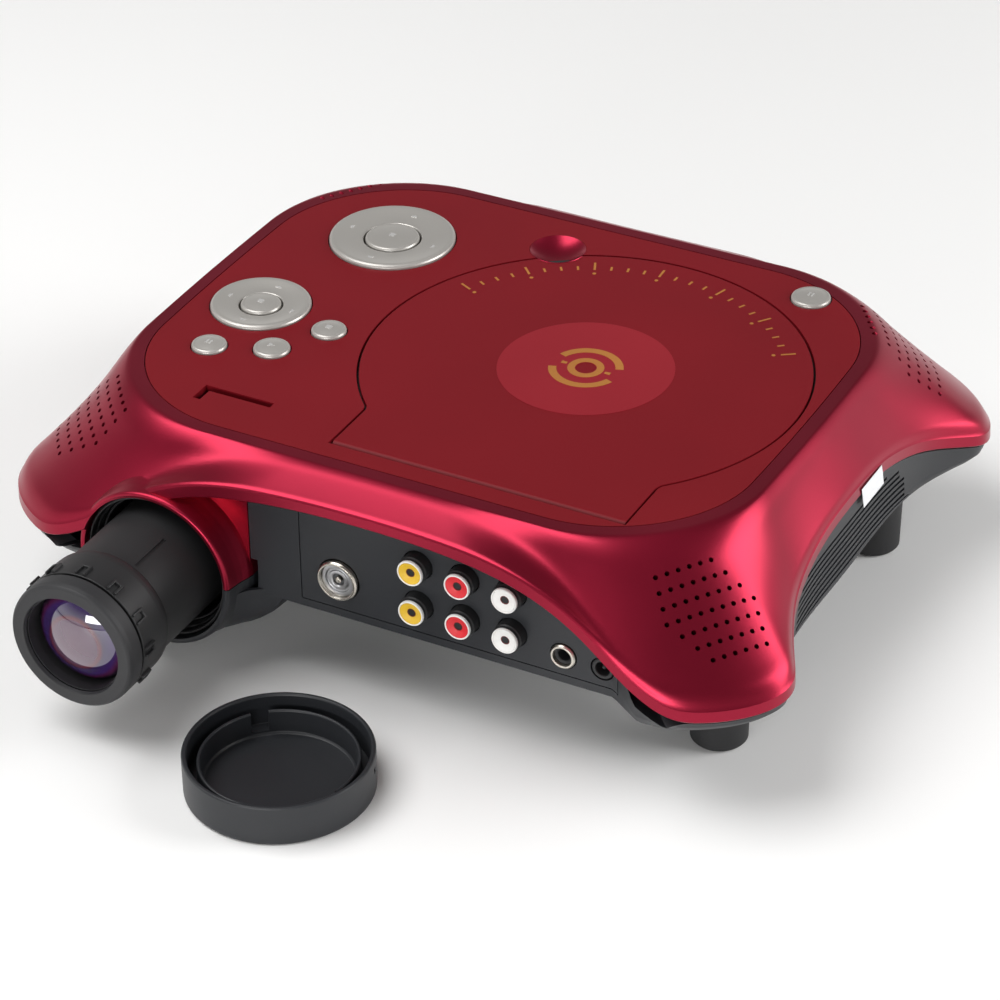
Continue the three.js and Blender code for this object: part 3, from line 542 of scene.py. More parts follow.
def curveAt(a, b, c, d, t):
    # Catmull-Rom curve from b to c
    return 0.5 * (2 * b + (c - a) * t + (2 * a - 5 * b + 4 * c - d) * t * t
                  + (3 * b - a - 3 * c + d) * t ** 3)


def smoothLoop(values, between):
    # closed Catmull-Rom curve through the values
    count = len(values)
    out = []
    for i in range(count):
        a, b, c, d = (Vector(values[(i + k) % count]) for k in (-1, 0, 1, 2))
        for k in range(between):
            out.append(curveAt(a, b, c, d, k / between))
    return out


def relaxed(points, rounds):
    count = len(points)
    for _ in range(rounds):
        points = [points[i] * 0.5 + (points[i - 1] + points[(i + 1) % count]) * 0.25 for i in range(count)]
    return points


def swollen(x, y):
    # the sides of the flat top bulge most in their middle
    return x * (1 + top["bulge"] / top["halfX"] * (1 - (y / top["halfY"]) ** 2))


def topPoint(run):
    halfX, halfY, corner = top["halfX"], top["halfY"], top["corner"]
    side, arc = halfY - corner, corner * math.pi / 2
    if run <= side:
        return Vector((swollen(halfX, run), run, topZ))
    if run >= side + arc:
        return Vector((max(0, halfX - corner - (run - side - arc)), halfY, topZ))
    angle = (run - side) / corner
    y = side + corner * math.sin(angle)
    return Vector((swollen(halfX - corner + corner * math.cos(angle), y), y, topZ))


def makeRings():
    lip = relaxed(smoothLoop(allRound(lipQuarter), ringPlan["between"]), ringPlan["smooth"])
    quarter = len(lip) // 4
    runs = [topRun[k] + (topRun[k + 1] - topRun[k]) * j / ringPlan["between"]
            for k in range(len(topRun) - 1) for j in range(ringPlan["between"])] + [topRun[-1]]
    smoothed = []
    for i in range(len(runs)):
        width = min(3, i, len(runs) - 1 - i)
        smoothed.append(sum(runs[i - width:i + width + 1]) / (2 * width + 1))
    runs = smoothed
    first = [topPoint(run) for run in runs]
    quarterPoints = [tuple(p) for p in first]
    ring = [Vector((x + top["shiftX"], y + top["shiftY"], z)) for x, y, z in allRound(quarterPoints)]
    assert len(ring) == len(lip) and quarter == len(first) - 1
    return ring, lip


topRing, lipRing = makeRings()


def inset(ring, distance):
    count = len(ring)
    out = []
    for i, p in enumerate(ring):
        before, after = ring[i - 1], ring[(i + 1) % count]
        along = Vector((after.x - before.x, after.y - before.y)).normalized()
        amount = distance(p) if callable(distance) else distance
        out.append(Vector((p.x - along.y * amount, p.y + along.x * amount, p.z)))
    return out


def flareRing(out, down):
    return [Vector((t.x + (p.x - t.x) * out, t.y + (p.y - t.y) * out, t.z + (p.z - t.z) * down))
            for t, p in zip(topRing, lipRing)]


def flareAt(share):
    # smooth curve through the flare's points; share runs from 0 to 1
    last = len(flare) - 1
    place = min(share * last, last - 1e-9)
    i = int(place)
    t = place - i
    a, b, c, d = (Vector(flare[min(max(i + k, 0), last)]) for k in (-1, 0, 1, 2))
    return curveAt(a, b, c, d, t)


def bandRings():
    # the upright band along the shell's lower edge, crease first
    height = ringPlan["bandHeight"]
    edge = inset(lipRing, ringPlan["bandInset"])
    crease = [Vector((p.x, p.y, p.z + min(height, (topZ - p.z) * 0.45))) for p in edge]
    soft = [Vector((p.x, p.y, q.z - 0.5)) for p, q in zip(inset(lipRing, 0.15), crease)]
    foot = [Vector((p.x, p.y, p.z + 0.4)) for p in lipRing]
    under = inset(lipRing, 0.35)
    return [crease, soft, foot, under]


def outsideRings():
    band = bandRings()
    crease = band[0]
    rings = []
    steps = 26
    for k in range(steps + 1):
        out, down = flareAt(k / steps)
        # each column ends on its own crease, so the whole flare is scaled to it
        ring = []
        for t, p in zip(topRing, crease):
            ring.append(Vector((t.x + (p.x - t.x) * out, t.y + (p.y - t.y) * out, t.z + (p.z - t.z) * down)))
        rings.append(ring)
    return rings + band[1:]


def lowered(ring, dz):
    return [Vector((p.x, p.y, p.z + dz)) for p in ring]


def levelled(ring, z):
    return [Vector((p.x, p.y, z)) for p in ring]


def heldBack(ring, wallY, straight=77, blend=11):
    out = []
    for p in ring:
        if p.y > wallY:
            out.append(p)
            continue
        share = min(max((abs(p.x) - straight) / blend, 0), 1)
        out.append(Vector((p.x, wallY + (p.y - wallY) * share, p.z)))
    return out


def topOutline(inward, steps=24):
    # the flat top's outline, moved inwards
    halfX, halfY, r = (top[k] - inward for k in ("halfX", "halfY", "corner"))
    corner = [math.radians(90 * k / steps) for k in range(steps + 1)]
    quarter = [(halfX, (halfY - r) * k / 8) for k in range(8)]
    quarter += [(halfX - r + r * math.cos(a), halfY - r + r * math.sin(a)) for a in corner]
    quarter.append((0, halfY))
    around = allRound([(x, y, 0) for x, y in quarter])
    return [(swollen(x, y) + top["shiftX"], y + top["shiftY"]) for x, y, _ in around]


def lidOutline(grow):
    # round lid with a square tongue to the hinge, the inner corners filleted
    r, half, front = lid["r"] + grow, lid["halfX"] + grow, lid["frontY"] - grow
    f = lid["fillet"] - grow
    cx, cy = half + f, -math.sqrt((r + f) ** 2 - (half + f) ** 2)
    touch = math.atan2(cy, cx)
    out = [(-half, front - lid["y"]), (half, front - lid["y"])]
    for k in range(9):  # fillet from the straight side round to the circle
        angle = math.pi + touch * k / 8
        out.append((cx + f * math.cos(angle), cy + f * math.sin(angle)))
    steps = 120
    for k in range(1, steps):
        angle = touch + (math.pi - 2 * touch) * k / steps
        out.append((r * math.cos(angle), r * math.sin(angle)))
    for k in range(9):
        angle = math.pi + touch * (1 - k / 8)
        out.append((-cx - f * math.cos(angle), cy + f * math.sin(angle)))
    return [(x + lid["x"], y + lid["y"]) for x, y in out]


print("outlines ready")


# upper shell
shellPlan = {"recessInset": 3.5, "roofZ": topZ - 2.2, "collarSides": 128, "scoopR": 14.0, "scoopRise": 10.9,
             "scoop": (-14.6, 61.2), "wellR": 63.4}
keyPlan = {
    "menu_ring": {"x": -63.2, "y": 44.3, "r": 19.5, "hole": 9.0, "rise": 1.3},
    "menu_key": {"x": -63.2, "y": 44.3, "r": 8.4, "rise": 1.1},
    "play_ring": {"x": -78.8, "y": -8.6, "r": 15.2, "hole": 6.7, "rise": 1.1},
    "play_key": {"x": -78.8, "y": -8.6, "r": 6.1, "rise": 1.0},
    "key_a": {"x": -80.1, "y": -36.1, "r": 5.3, "rise": 1.2},
    "key_b": {"x": -62.6, "y": -29.6, "r": 5.5, "rise": 1.2},
    "key_c": {"x": -52.8, "y": -13.0, "r": 5.3, "rise": 1.2},
    "power_key": {"x": 66.7, "y": 68.3, "r": 6.0, "rise": 1.2},
}
outerKeys = [k for name, k in keyPlan.items() if name not in ("menu_key", "play_key")]
keyFootZ = 66.0
collarProfile = [
    (20, lens["collarY"] + 0.5), (23.6, lens["collarY"] + 0.2), (24.2, lens["collarY"]),
    (24.8, lens["collarY"] + 0.25), (25.1, -94.6), (25.3, -93.2), (25.6, -91), (26.1, -88.8), (26.8, -86.6),
    (27.2, -84.6), (27.2, -62), (20, -62),
]
slotPlan = {"left": -69.3, "right": -46.5, "front": -63.0, "back": -55.4, "width": 2.5}


def collar():
    return turned("collar", collarProfile, lens["x"], 0, lens["z"], "Y", shellPlan["collarSides"], 0.3)


def lensBore():
    profile = [(0, -97), (lens["boreR"], -97), (lens["boreR"], -61), (0, -61)]
    return turned("cutter", profile, lens["x"], 0, lens["z"], "Y", 96, 0, loop=False)


def upright(x, y, z0, z1, r, sides=64):
    return turned("cutter", [(0, z0), (r, z0), (r, z1), (0, z1)], x, y, 0, "Z", sides, 0, loop=False)


def lying(x, z, y0, y1, r, sides=64):
    return turned("cutter", [(0, y0), (r, y0), (r, y1), (0, y1)], x, 0, z, "Y", sides, 0, loop=False)


def scoopBall():
    mesh = bpy.data.meshes.new("cutter")
    work = bmesh.new()
    bmesh.ops.create_uvsphere(work, u_segments=64, v_segments=32, radius=shellPlan["scoopR"] * mm)
    bmesh.ops.translate(work, verts=work.verts, vec=at(*shellPlan["scoop"], topZ + shellPlan["scoopRise"]))
    work.to_mesh(mesh)
    work.free()
    return addObject("cutter", mesh)


def cardSlot(z0, z1, grow=0.0):
    left, right, front, back, width = (slotPlan[k] for k in ("left", "right", "front", "back", "width"))
    corners = [(left, front), (left + width, front), (left + width, back - width), (right, back - width),
               (right, back), (left, back)]
    if grow:
        corners = [(x + (grow if x > left + width / 2 else -grow), y) for x, y in corners]
    return plate("cutter", corners, z0, z1)


speakerPlan = {
    # middle of each patch as seen from above, and the way its rows step sideways
    "rows": (6, 7, 8, 9, 8, 7, 6), "pitch": 3.3, "rowPitch": 4.4, "step": 0.34, "holeR": 0.72, "depth": 9.0,
    "patches": {"frontRight": (100.5, -73.1, 1), "frontLeft": (-101.5, -69.5, -1),
                "backRight": (97.6, 68.1, -1), "backLeft": (-97.6, 68.1, 1)},
}


def perforationPlaces(skin):
    graph = bpy.context.evaluated_depsgraph_get()
    tree = BVHTree.FromObject(skin, graph)
    places = []
    for x, y, lean in speakerPlan["patches"].values():
        outward = Vector((x, y, 0)).normalized()
        hit, normal, _, _ = tree.ray_cast(at(x, y, 90), Vector((0, 0, -1)))
        facing = Vector((normal.x, normal.y, normal.z)).normalized()
        across = Vector((-outward.y, outward.x, 0)).normalized()
        up = facing.cross(across).normalized()
        for row, count in enumerate(speakerPlan["rows"]):
            high = (len(speakerPlan["rows"]) - 1) / 2 - row
            for i in range(count):
                side = i - (count - 1) / 2 - high * lean * speakerPlan["step"]
                offset = across * side * speakerPlan["pitch"] * mm + up * high * speakerPlan["rowPitch"] * mm
                start = hit + offset + facing * 0.02
                point, _, _, _ = tree.ray_cast(start, -facing)
                if point is not None:
                    places.append((point - facing * speakerPlan["depth"] * 0.5 * mm, facing))
    return places


def shellInside():
    levels = []
    for out, down, inward, drop in flareInside[::-1]:
        levels.append(heldBack(lowered(inset(flareRing(out, down), inward), -drop), portWall["y"] - 0.5))
    return loft("cutter", [lowered(levels[0], -6)] + levels, 10, topZ - 4.2)


def upperShell():
    rings = outsideRings()[::-1]
    skin = loft("upperShell", rings, 44, topZ)
    holes = perforationPlaces(skin)
    cut(skin, shellInside())
    hull = loft("cutter", [levelled(lipRing, 12)] + rings[1:], 12, topZ)
    screen = keep(boxPiece(-93, -38.5, portWall["y"], portWall["y"] + 2.4, lens["z"] + 0.15, 66), hull)
    above = boxPiece(-140, 140, -110, 110, lens["z"] + 0.15, 90)
    join(skin, screen, keep(collar(), above))
    recess = plate("cutter", topOutline(shellPlan["recessInset"]), shellPlan["roofZ"], topZ + 1)
    cut(skin, recess, lensBore(), scoopBall(), cardSlot(64, 70),
        boxPiece(lid["x"] - lid["halfX"] - 3, lid["x"] + lid["halfX"] + 3, lid["frontY"] - 0.6, -58, 64, 70),
        upright(lid["x"], lid["y"], 64, 70, shellPlan["wellR"], 128),
        lying(jackPlan["firstX"] + 2 * jackPlan["pitch"], jackPlan["highZ"], -100, -80, jackPlan["r"] + 0.4))
    cut(skin, *[upright(k["x"], k["y"], 64, 72, k["r"] + 0.45) for k in outerKeys])
    speakerHoles = standOn("cutter", holes, speakerPlan["holeR"], speakerPlan["depth"], "shell_red")
    cut(skin, speakerHoles)
    return finish(skin, "shell_red", "housing", replaces=["upper_shell"], smooth=22)


# deck panel and lid
def topPanel():
    z0 = topZ - lid["thick"]
    panel = plate("topPanel", topOutline(shellPlan["recessInset"] + 0.3), z0, topZ)
    cut(panel, plate("cutter", lidOutline(0.7), z0 - 1, topZ + 1))
    cut(panel, *[upright(k["x"], k["y"], z0 - 1, topZ + 1, k["r"] + 0.35) for k in outerKeys])
    cut(panel, cardSlot(z0 - 1, topZ + 1))
    bevelled(panel, 0.22)
    cut(panel, scoopBall())
    lugs = []
    for side in (-1, 1):
        x = lid["x"] + side * (lid["halfX"] + 1.5)
        lugs.append(boxPiece(x - 1, x + 1, lid["frontY"] - 0.4, lid["hingeY"] + 2, topZ - 3.9, topZ - 0.5))
    join(panel, *lugs)
    return finish(panel, "panel_red", "housing", replaces=["top_panel"])


def alongX(name, profile, y, z, sides=48, soften=0.15):
    # turned about a line along X
    piece = turned(name, profile, 0, 0, 0, "Y", sides, soften, loop=False)
    turn = Matrix.Rotation(-math.pi / 2, 4, "Z")
    piece.data.transform(Matrix.Translation(at(lid["x"], y, z)) @ turn @ Matrix.Translation(-at(0, 0, 0)))
    return piece


def scoopBowl():
    # the lacquered bowl of the finger scoop: half belongs to the deck panel and half to the lid
    x, y = shellPlan["scoop"]
    ballZ, r = topZ + shellPlan["scoopRise"], shellPlan["scoopR"]
    reach = math.acos((shellPlan["scoopRise"] + 0.06) / (r - 0.05))
    arc = [reach * k / 16 for k in range(17)]
    profile = [((r - 0.05) * math.sin(a), ballZ - (r - 0.05) * math.cos(a)) for a in arc]
    profile += [((r - 0.25) * math.sin(a), ballZ - (r - 0.25) * math.cos(a)) for a in arc[::-1]]
    bowl = turned("scoopPanelSide", profile, x, y, 0, "Z", 64, 0, loop=False)
    lidHalf = keep(copyOf(bowl, "scoopLidSide"), plate("cutter", lidOutline(0), topZ - 6, topZ + 2))
    cut(bowl, plate("cutter", lidOutline(0.7), topZ - 6, topZ + 2))
    finish(bowl, "shell_red", "housing")
    finish(lidHalf, "shell_red", "lid")


def paintedGapShadow():
    # painted shadow: a dark sheet under the gap round the lid, so that the gap reads as shade
    z0, z1 = topZ - lid["thick"] - 0.29, topZ - lid["thick"] - 0.03
    shadowLedge = plate("paintedShadowLedge", lidOutline(1.0), z0, z1)
    cut(shadowLedge, plate("cutter", lidOutline(-1.5), z0 - 1, z1 + 1))
    finish(shadowLedge, "rubber_black", "housing")


def discLid():
    z0 = topZ - lid["thick"]
    sheet = plate("discLid", lidOutline(0), z0, topZ)
    cut(sheet, boxPiece(-40, 90, lid["frontY"] - 1, lid["hingeY"], z0 - 1, topZ + 1))
    bevelled(sheet, 0.22)
    half = lid["halfX"]
    roll = alongX("roll", [(0, -half), (lid["edgeR"], -half), (lid["edgeR"], half), (0, half)],
                  lid["hingeY"], topZ - lid["edgeR"])
    join(sheet, roll)
    cut(sheet, scoopBall())
    return finish(sheet, "panel_red", "lid", replaces=["disc_lid"])


def flatRing(name, r0, r1, z0, z1, a0=0.0, a1=360.0, sides=96):
    # a flat band from angle a0 to a1 round the lid's middle
    whole = a1 - a0 >= 360
    count = max(6, round(sides * (a1 - a0) / 360))
    inner, outer = [], []
    for k in range(count + (0 if whole else 1)):
        angle = math.radians(a0 + (a1 - a0) * k / count)
        inner.append((lid["x"] + r0 * math.cos(angle), lid["y"] + r0 * math.sin(angle)))
        outer.append((lid["x"] + r1 * math.cos(angle), lid["y"] + r1 * math.sin(angle)))
    if whole:
        profile = [(r0, z0), (r1, z0), (r1, z1), (r0, z1)]
        return turned(name, profile, lid["x"], lid["y"], 0, "Z", sides, 0)
    return plate(name, outer + inner[::-1], z0, z1)


# a plain scale round the lid: short ticks, a tall one every fourth, and a dot under each tall one
printPlan = {
    "from": 34.0, "step": 5.0, "ticks": 25, "tallEvery": 4, "r": 57.4, "short": 2.2, "tall": 4.4, "wide": 0.7,
    "dotR": 0.6, "dotAt": 55.2, "thick": 0.03, "discR": 26.0, "emblem": (11.0, 8.6, 5.4, 3.2),
}


def joinMeshes(name, pieces):
    work = bmesh.new()
    for piece in pieces:
        work.from_mesh(piece.data)
        bpy.data.objects.remove(piece)
    mesh = bpy.data.meshes.new(name)
    work.to_mesh(mesh)
    work.free()
    return addObject(name, mesh)


def scaleMark(long, z0, z1):
    # one tick on the +X side of the axis, ready to be repeated round it
    half = printPlan["wide"] / 2
    tick = boxPiece(printPlan["r"], printPlan["r"] + long, -half, half, z0, z1, "tick")
    tick.data.transform(Matrix.Translation(-at(0, 0, 0)))
    return tick


def lidPrint():
    # a scale without letters or numbers, and a plain disc sign in the middle
    z0, z1 = topZ + 0.01, topZ + 0.01 + printPlan["thick"]
    disc = flatRing("lidDisc", 3.0, printPlan["discR"], z0, z1, sides=128)
    finish(disc, "discRed", "lid")
    every, step = printPlan["tallEvery"], printPlan["step"]
    tallCount = (printPlan["ticks"] - 1) // every + 1
    centre = at(lid["x"], lid["y"], 0)
    turns = {"centre": centre, "axis": (0, 0, 1), "finishName": "goldPrint", "first": printPlan["from"]}
    ticks = repeatRound(scaleMark(printPlan["short"], z0, z1), printPlan["ticks"], step=step, **turns)
    tall = repeatRound(scaleMark(printPlan["tall"], z0, z1 + 0.005), tallCount, step=step * every, **turns)
    dot = turned("dot", [(0, z0), (printPlan["dotR"], z0), (printPlan["dotR"], z1), (0, z1)],
                 printPlan["dotAt"], 0, 0, "Z", 16, 0, loop=False)
    dot.data.transform(Matrix.Translation(-at(0, 0, 0)))
    dots = repeatRound(dot, tallCount, step=step * every, **turns)
    strokes = [ticks, tall, dots]
    r1, r2, r3, r4 = printPlan["emblem"]
    high0, high1 = z1 + 0.005, z1 + 0.005 + printPlan["thick"]
    for inner, outer, a0, a1 in ((r2, r1, 200, 340), (r2, r1, 20, 160), (r4, r3, 0, 360)):
        strokes.append(flatRing("mark", inner, outer, high0, high1, a0, a1))
    for a0 in (175, -5):
        strokes.append(flatRing("mark", r3 + 0.7, r2 - 0.7, high0, high1, a0, a0 + 10))
    finish(joinMeshes("lidPrint", strokes), "goldPrint", "lid")


# keys
def keys():
    for name, k in keyPlan.items():
        r, z = k["r"], topZ + k["rise"]
        if "hole" in k:
            h = k["hole"]
            profile = [(r, keyFootZ), (r, z - 0.8), (r - 0.3, z - 0.3), (r - 0.9, z), (r - 1.9, z - 0.05)]
            outer, inner = r - 1.9, h + 0.5
            for step in range(1, 12):  # one smooth dish down to the hole
                t = step / 12
                profile.append((outer + (inner - outer) * t, z - 0.05 - 0.85 * math.sin(math.pi / 2 * t)))
            profile += [(h + 0.3, z - 0.95), (h, z - 1.2), (h, keyFootZ)]
            piece = turned(name + "Cap", profile, k["x"], k["y"], 0, "Z", 128, 0.12)
        else:
            profile = [(0, keyFootZ), (r, keyFootZ), (r, z - 0.85), (r - 0.25, z - 0.35), (r - 0.7, z - 0.12)]
            profile += [(r - 1.15, z - 0.2)]
            for step in range(1, 9):
                t = step / 8
                rr = (r - 1.15) * (1 - t)
                profile.append((rr, z - 0.2 + 0.5 * (1 - (1 - t) ** 2)))
            piece = turned(name + "Cap", profile, k["x"], k["y"], 0, "Z", 80, 0.1, loop=False)
        finish(piece, "silver_key", name, replaces=[name], smooth=50)


markPlan = {"thick": 0.25, "size": 1.5}


def keyMarks():
    # plain raised signs: arrows round the rings, a dot and bars on the small keys; they are coloured brighter
    # than the key, a painted highlight where light catches their edges
    size = markPlan["size"]
    for name, spread in (("menu_ring", 14.6), ("play_ring", 11.2)):
        k = keyPlan[name]
        marks = []
        for quarter in range(4):
            angle = math.radians(90 * quarter)
            c, s = math.cos(angle), math.sin(angle)
            back, side = spread - size * 0.6, size * 0.7
            arrow = [(back, -side), (spread + size * 0.6, 0), (back, side)]
            points = [(k["x"] + a * c - b * s, k["y"] + a * s + b * c) for a, b in arrow]
            z = topZ + k["rise"] - 0.9
            marks.append(plate("mark", points, z, z + markPlan["thick"] + 0.15))
        finish(joinMeshes(name + "Marks", marks), "glintMark", name)
    for name, kind in (("menu_key", "square"), ("play_key", "square"), ("key_a", "bar"), ("key_b", "arrow"),
                       ("key_c", "square"), ("power_key", "bar")):
        k = keyPlan[name]
        z = topZ + k["rise"] + 0.12
        half = size * 0.6
        shapes = {"square": [[(-half, -half), (half, -half), (half, half), (-half, half)]],
                  "bar": [[(-half, -half), (-half * 0.3, -half), (-half * 0.3, half), (-half, half)],
                          [(half * 0.3, -half), (half, -half), (half, half), (half * 0.3, half)]],
                  "arrow": [[(-half, -half), (half, 0), (-half, half)]]}[kind]
        outlines = [[(k["x"] + a, k["y"] + b) for a, b in shape] for shape in shapes]
        marks = [plate("mark", outline, z, z + markPlan["thick"]) for outline in outlines]
        finish(joinMeshes(name + "Marks", marks), "glintMark", name)


# base, port panel and belly
jackPlan = {
    "pitch": 14.7, "firstX": 16.4, "lowZ": 38.9, "highZ": 52.3, "faceY": -90.4, "rearY": -80.6, "r": 4.4,
}
antenna = {"x": -9.3, "z": 39.6, "r": 6.4}
phones = {"x": 61.6, "z": 36.0, "r": 3.9}
powerInlet = {"x": 73.6, "z": 35.4, "r": 3.4}
grooves = {
    "count": 8, "lowZ": 29.2, "pitch": 2.05, "width": 0.95, "sideX": 109.9, "reach": 47.0, "arch": 21.5,
}
exhaust = {"count": 6, "pitch": 6.0, "width": 2.6, "z0": 33.0, "z1": 48.0}
screwPlaces = [(72, -66), (72, 66), (-20, 66), (-100, 30)]
bellySections = [
    (-92, 25.2, 25.2), (-88, 27.5, 25.3), (-83, 34, 25.2), (-76, 38, 24.6), (-34, 38, 22), (-8, 36, 15),
    (16, 32, 5.4),
]
bellyPlan = {"left": 28.0, "floorHalf": 3.5, "wall": 2.0, "steps": 24}


def clamped(value):
    return min(max(value, 0), 1)


def lobe(p):
    return clamped((50 - p.z) / 16.5)  # 1 where the lip is lowest


def seamBelow(p):
    # the joint is wider where the lip climbs steeply
    steep = clamped((abs(p.y) - 84) / 4) * clamped((p.z - 33.6) / 1.2) * clamped((63.5 - p.z) / 2)
    widest = base["steepSeam"] if p.y > 0 else base["steepSeam"] + 2.2
    return base["seam"] + (widest - base["seam"]) * steep


def baseWalls():
    low = levelled(inset(lipRing, lambda p: 1 + 5 * lobe(p)), base["z"])
    lowSoft = levelled(inset(lipRing, lambda p: 1 + 4.2 * lobe(p)), base["z"] + 0.6)
    knee = levelled(inset(lipRing, lambda p: 1 + 1.2 * lobe(p)), base["z"] + 3.5)
    rim = [Vector((p.x, p.y, p.z - seamBelow(p))) for p in inset(lipRing, 1)]
    between = [[a.lerp(b, k / 6) for a, b in zip(knee, rim)] for k in range(1, 6)]
    rings = [low, lowSoft, knee] + between + [rim]
    walls = loft("bottomShell", [heldBack(r, portWall["y"]) for r in rings], base["z"], 50)
    ring = heldBack(inset(lipRing, lambda p: 3.6 + 2.4 * lobe(p)), portWall["y"] + portWall["thick"])
    cavity = loft("cutter", [levelled(ring, base["floorTop"]), levelled(ring, base["floorTop"] + 2.8),
                             lowered(ring, 8)], base["floorTop"], 75)
    return cut(walls, cavity)


def smoothRows(rows, between):
    out = []
    for i in range(len(rows) - 1):
        a, b = Vector(rows[max(i - 1, 0)]), Vector(rows[i])
        c, d = Vector(rows[i + 1]), Vector(rows[min(i + 2, len(rows) - 1)])
        for k in range(between):
            out.append(curveAt(a, b, c, d, k / between))
    return out + [Vector(rows[-1])]


def belly(wall):
    rings = []
    rows = smoothRows(bellySections, 4)
    for k, (y, halfX, depth) in enumerate(rows):
        if wall:
            y += -4 if k == 0 else (-6 if k == len(rows) - 1 else 0)
        left = min(halfX, bellyPlan["left"]) - wall
        right, rz = halfX - wall, depth - wall
        start = 0 if wall else math.asin(bellyPlan["floorHalf"] / rz)
        ring = []
        for i in range(bellyPlan["steps"] + 1):
            angle = start + (math.pi - 2 * start) * i / bellyPlan["steps"]
            reach = right if angle < math.pi / 2 else left
            ring.append(Vector((lens["x"] + reach * math.cos(angle), y, lens["z"] - rz * math.sin(angle))))
        if wall:
            ring += [Vector((lens["x"] + reach, y, lens["z"] + 6)) for reach in (-left, right)]
        rings.append(ring)
    return loft("belly", rings)


def portZone(grow):
    low = base["floorTop"] + 0.6 - grow
    return boxPiece(portWall["x0"] - grow, portWall["x1"] + grow, -90, -80, low, 80, "zone")


def bottomShell(walls):
    below = boxPiece(-140, 140, -110, 110, -10, lens["z"] - 0.15)
    join(walls, belly(0))
    cut(walls, belly(bellyPlan["wall"]), portZone(0.3))
    z0 = grooves["lowZ"]
    for i in range(grooves["count"]):
        z = z0 + i * grooves["pitch"]
        reach = grooves["reach"] * math.sqrt(max(0.05, 1 - ((z - base["z"]) / grooves["arch"]) ** 2))
        half = grooves["width"] / 2
        for side in (-1, 1):
            x = side * grooves["sideX"]
            cut(walls, boxPiece(x - 1.1, x + 1.1, -reach, reach - 3 * (i % 2), z - half, z + half))
    for i in range(exhaust["count"]):
        x = lens["x"] + exhaust["pitch"] * (i - (exhaust["count"] - 1) / 2)
        half = exhaust["width"] / 2
        cut(walls, boxPiece(x - half, x + half, 80, 95, exhaust["z0"], exhaust["z1"]))
    cut(walls, boxPiece(-94, -38.2, -95, portWall["y"] + 2.8, lens["z"] - 0.15, 70))
    clear = keep(lying(lens["x"], lens["z"], -96, -61.6, 27.5, 96),
                 boxPiece(-140, 0, -100, -50, lens["z"] - 0.15, 70))
    cut(walls, clear)
    join(walls, keep(collar(), below))
    cut(walls, lensBore(), *[upright(x, y, 20, 30, 3.1, 32) for x, y in screwPlaces])
    return finish(walls, "satin_black", "housing", replaces=["bottom_shell"])


def portPanel(walls):
    panel = keep(copyOf(walls, "portPanel"), portZone(0))
    rows = (jackPlan["lowZ"], jackPlan["highZ"])
    places = [(jackPlan["firstX"] + i * jackPlan["pitch"], z) for i in range(3) for z in rows]
    cut(panel, *[lying(x, z, -90, -80, jackPlan["r"] + 0.3) for x, z in places])
    cut(panel, *[lying(s["x"], s["z"], -90, -80, s["r"] + 0.3) for s in (antenna, phones, powerInlet)])
    return finish(panel, "satin_black", "housing", replaces=["port_panel"])


# sockets
def sockets():
    y, r = jackPlan["faceY"], jackPlan["r"]
    barrelProfile = [(0, jackPlan["rearY"]), (r, jackPlan["rearY"]), (r, y + 2.2), (4.05, y + 1.7),
                     (4.05, y + 1.0), (0, y + 1.0)]
    rimProfile = [(3.45, y + 1.0), (3.95, y + 1.0), (3.95, y + 0.4), (3.85, y + 0.08), (3.65, y),
                  (3.45, y + 0.15)]
    insertProfile = [(1.35, y + 1.0), (3.4, y + 1.0), (3.4, y + 0.15), (3.1, y + 0.2), (2.2, y + 0.5),
                     (1.35, y + 0.8)]
    holeProfile = [(0, y + 1.9), (1.35, y + 1.9), (1.35, y + 0.85), (1.15, y + 0.85), (1.15, y + 1.3),
                   (0, y + 1.3)]
    for i, tone in enumerate(("yellow", "red", "white")):
        for row, z in (("upper", jackPlan["highZ"]), ("lower", jackPlan["lowZ"])):
            x = jackPlan["firstX"] + i * jackPlan["pitch"]
            name = tone + row.capitalize()
            node = f"jack_{tone}_{row}"
            barrel = turned(name + "Barrel", barrelProfile, x, 0, z, "Y", 64, 0.15, loop=False)
            finish(barrel, "matte_black", "housing")
            rim = turned(name + "Rim", rimProfile, x, 0, z, "Y", 64, 0.1)
            finish(rim, "jack_white", "housing")
            insert = turned(name + "Insert", insertProfile, x, 0, z, "Y", 64, 0.1)
            finish(insert, "jack_" + tone, "housing", replaces=[node])
            hole = turned(name + "Hole", holeProfile, x, 0, z, "Y", 32, 0, loop=False)
            finish(hole, "socketDark", "housing")
    metalSocket("antennaSocket", "antenna_jack", antenna, -87.0, 1.9, 5.0)
    metalSocket("phonesSocket", "phones_jack", phones, -86.3, 1.8, 5.0)
    s = powerInlet
    r = s["r"]
    profile = [(0, -80.6), (r, -80.6), (r, -85.0), (r - 0.4, -85.4), (2.3, -85.4), (2.1, -85.0),
               (2.1, -81.6), (0.7, -81.6), (0.7, -84.2), (0.3, -84.6), (0, -84.6)]
    piece = turned("powerSocket", profile, s["x"], 0, s["z"], "Y", 48, 0.1, loop=False)
    finish(piece, "matte_black", "housing", replaces=["power_inlet"])


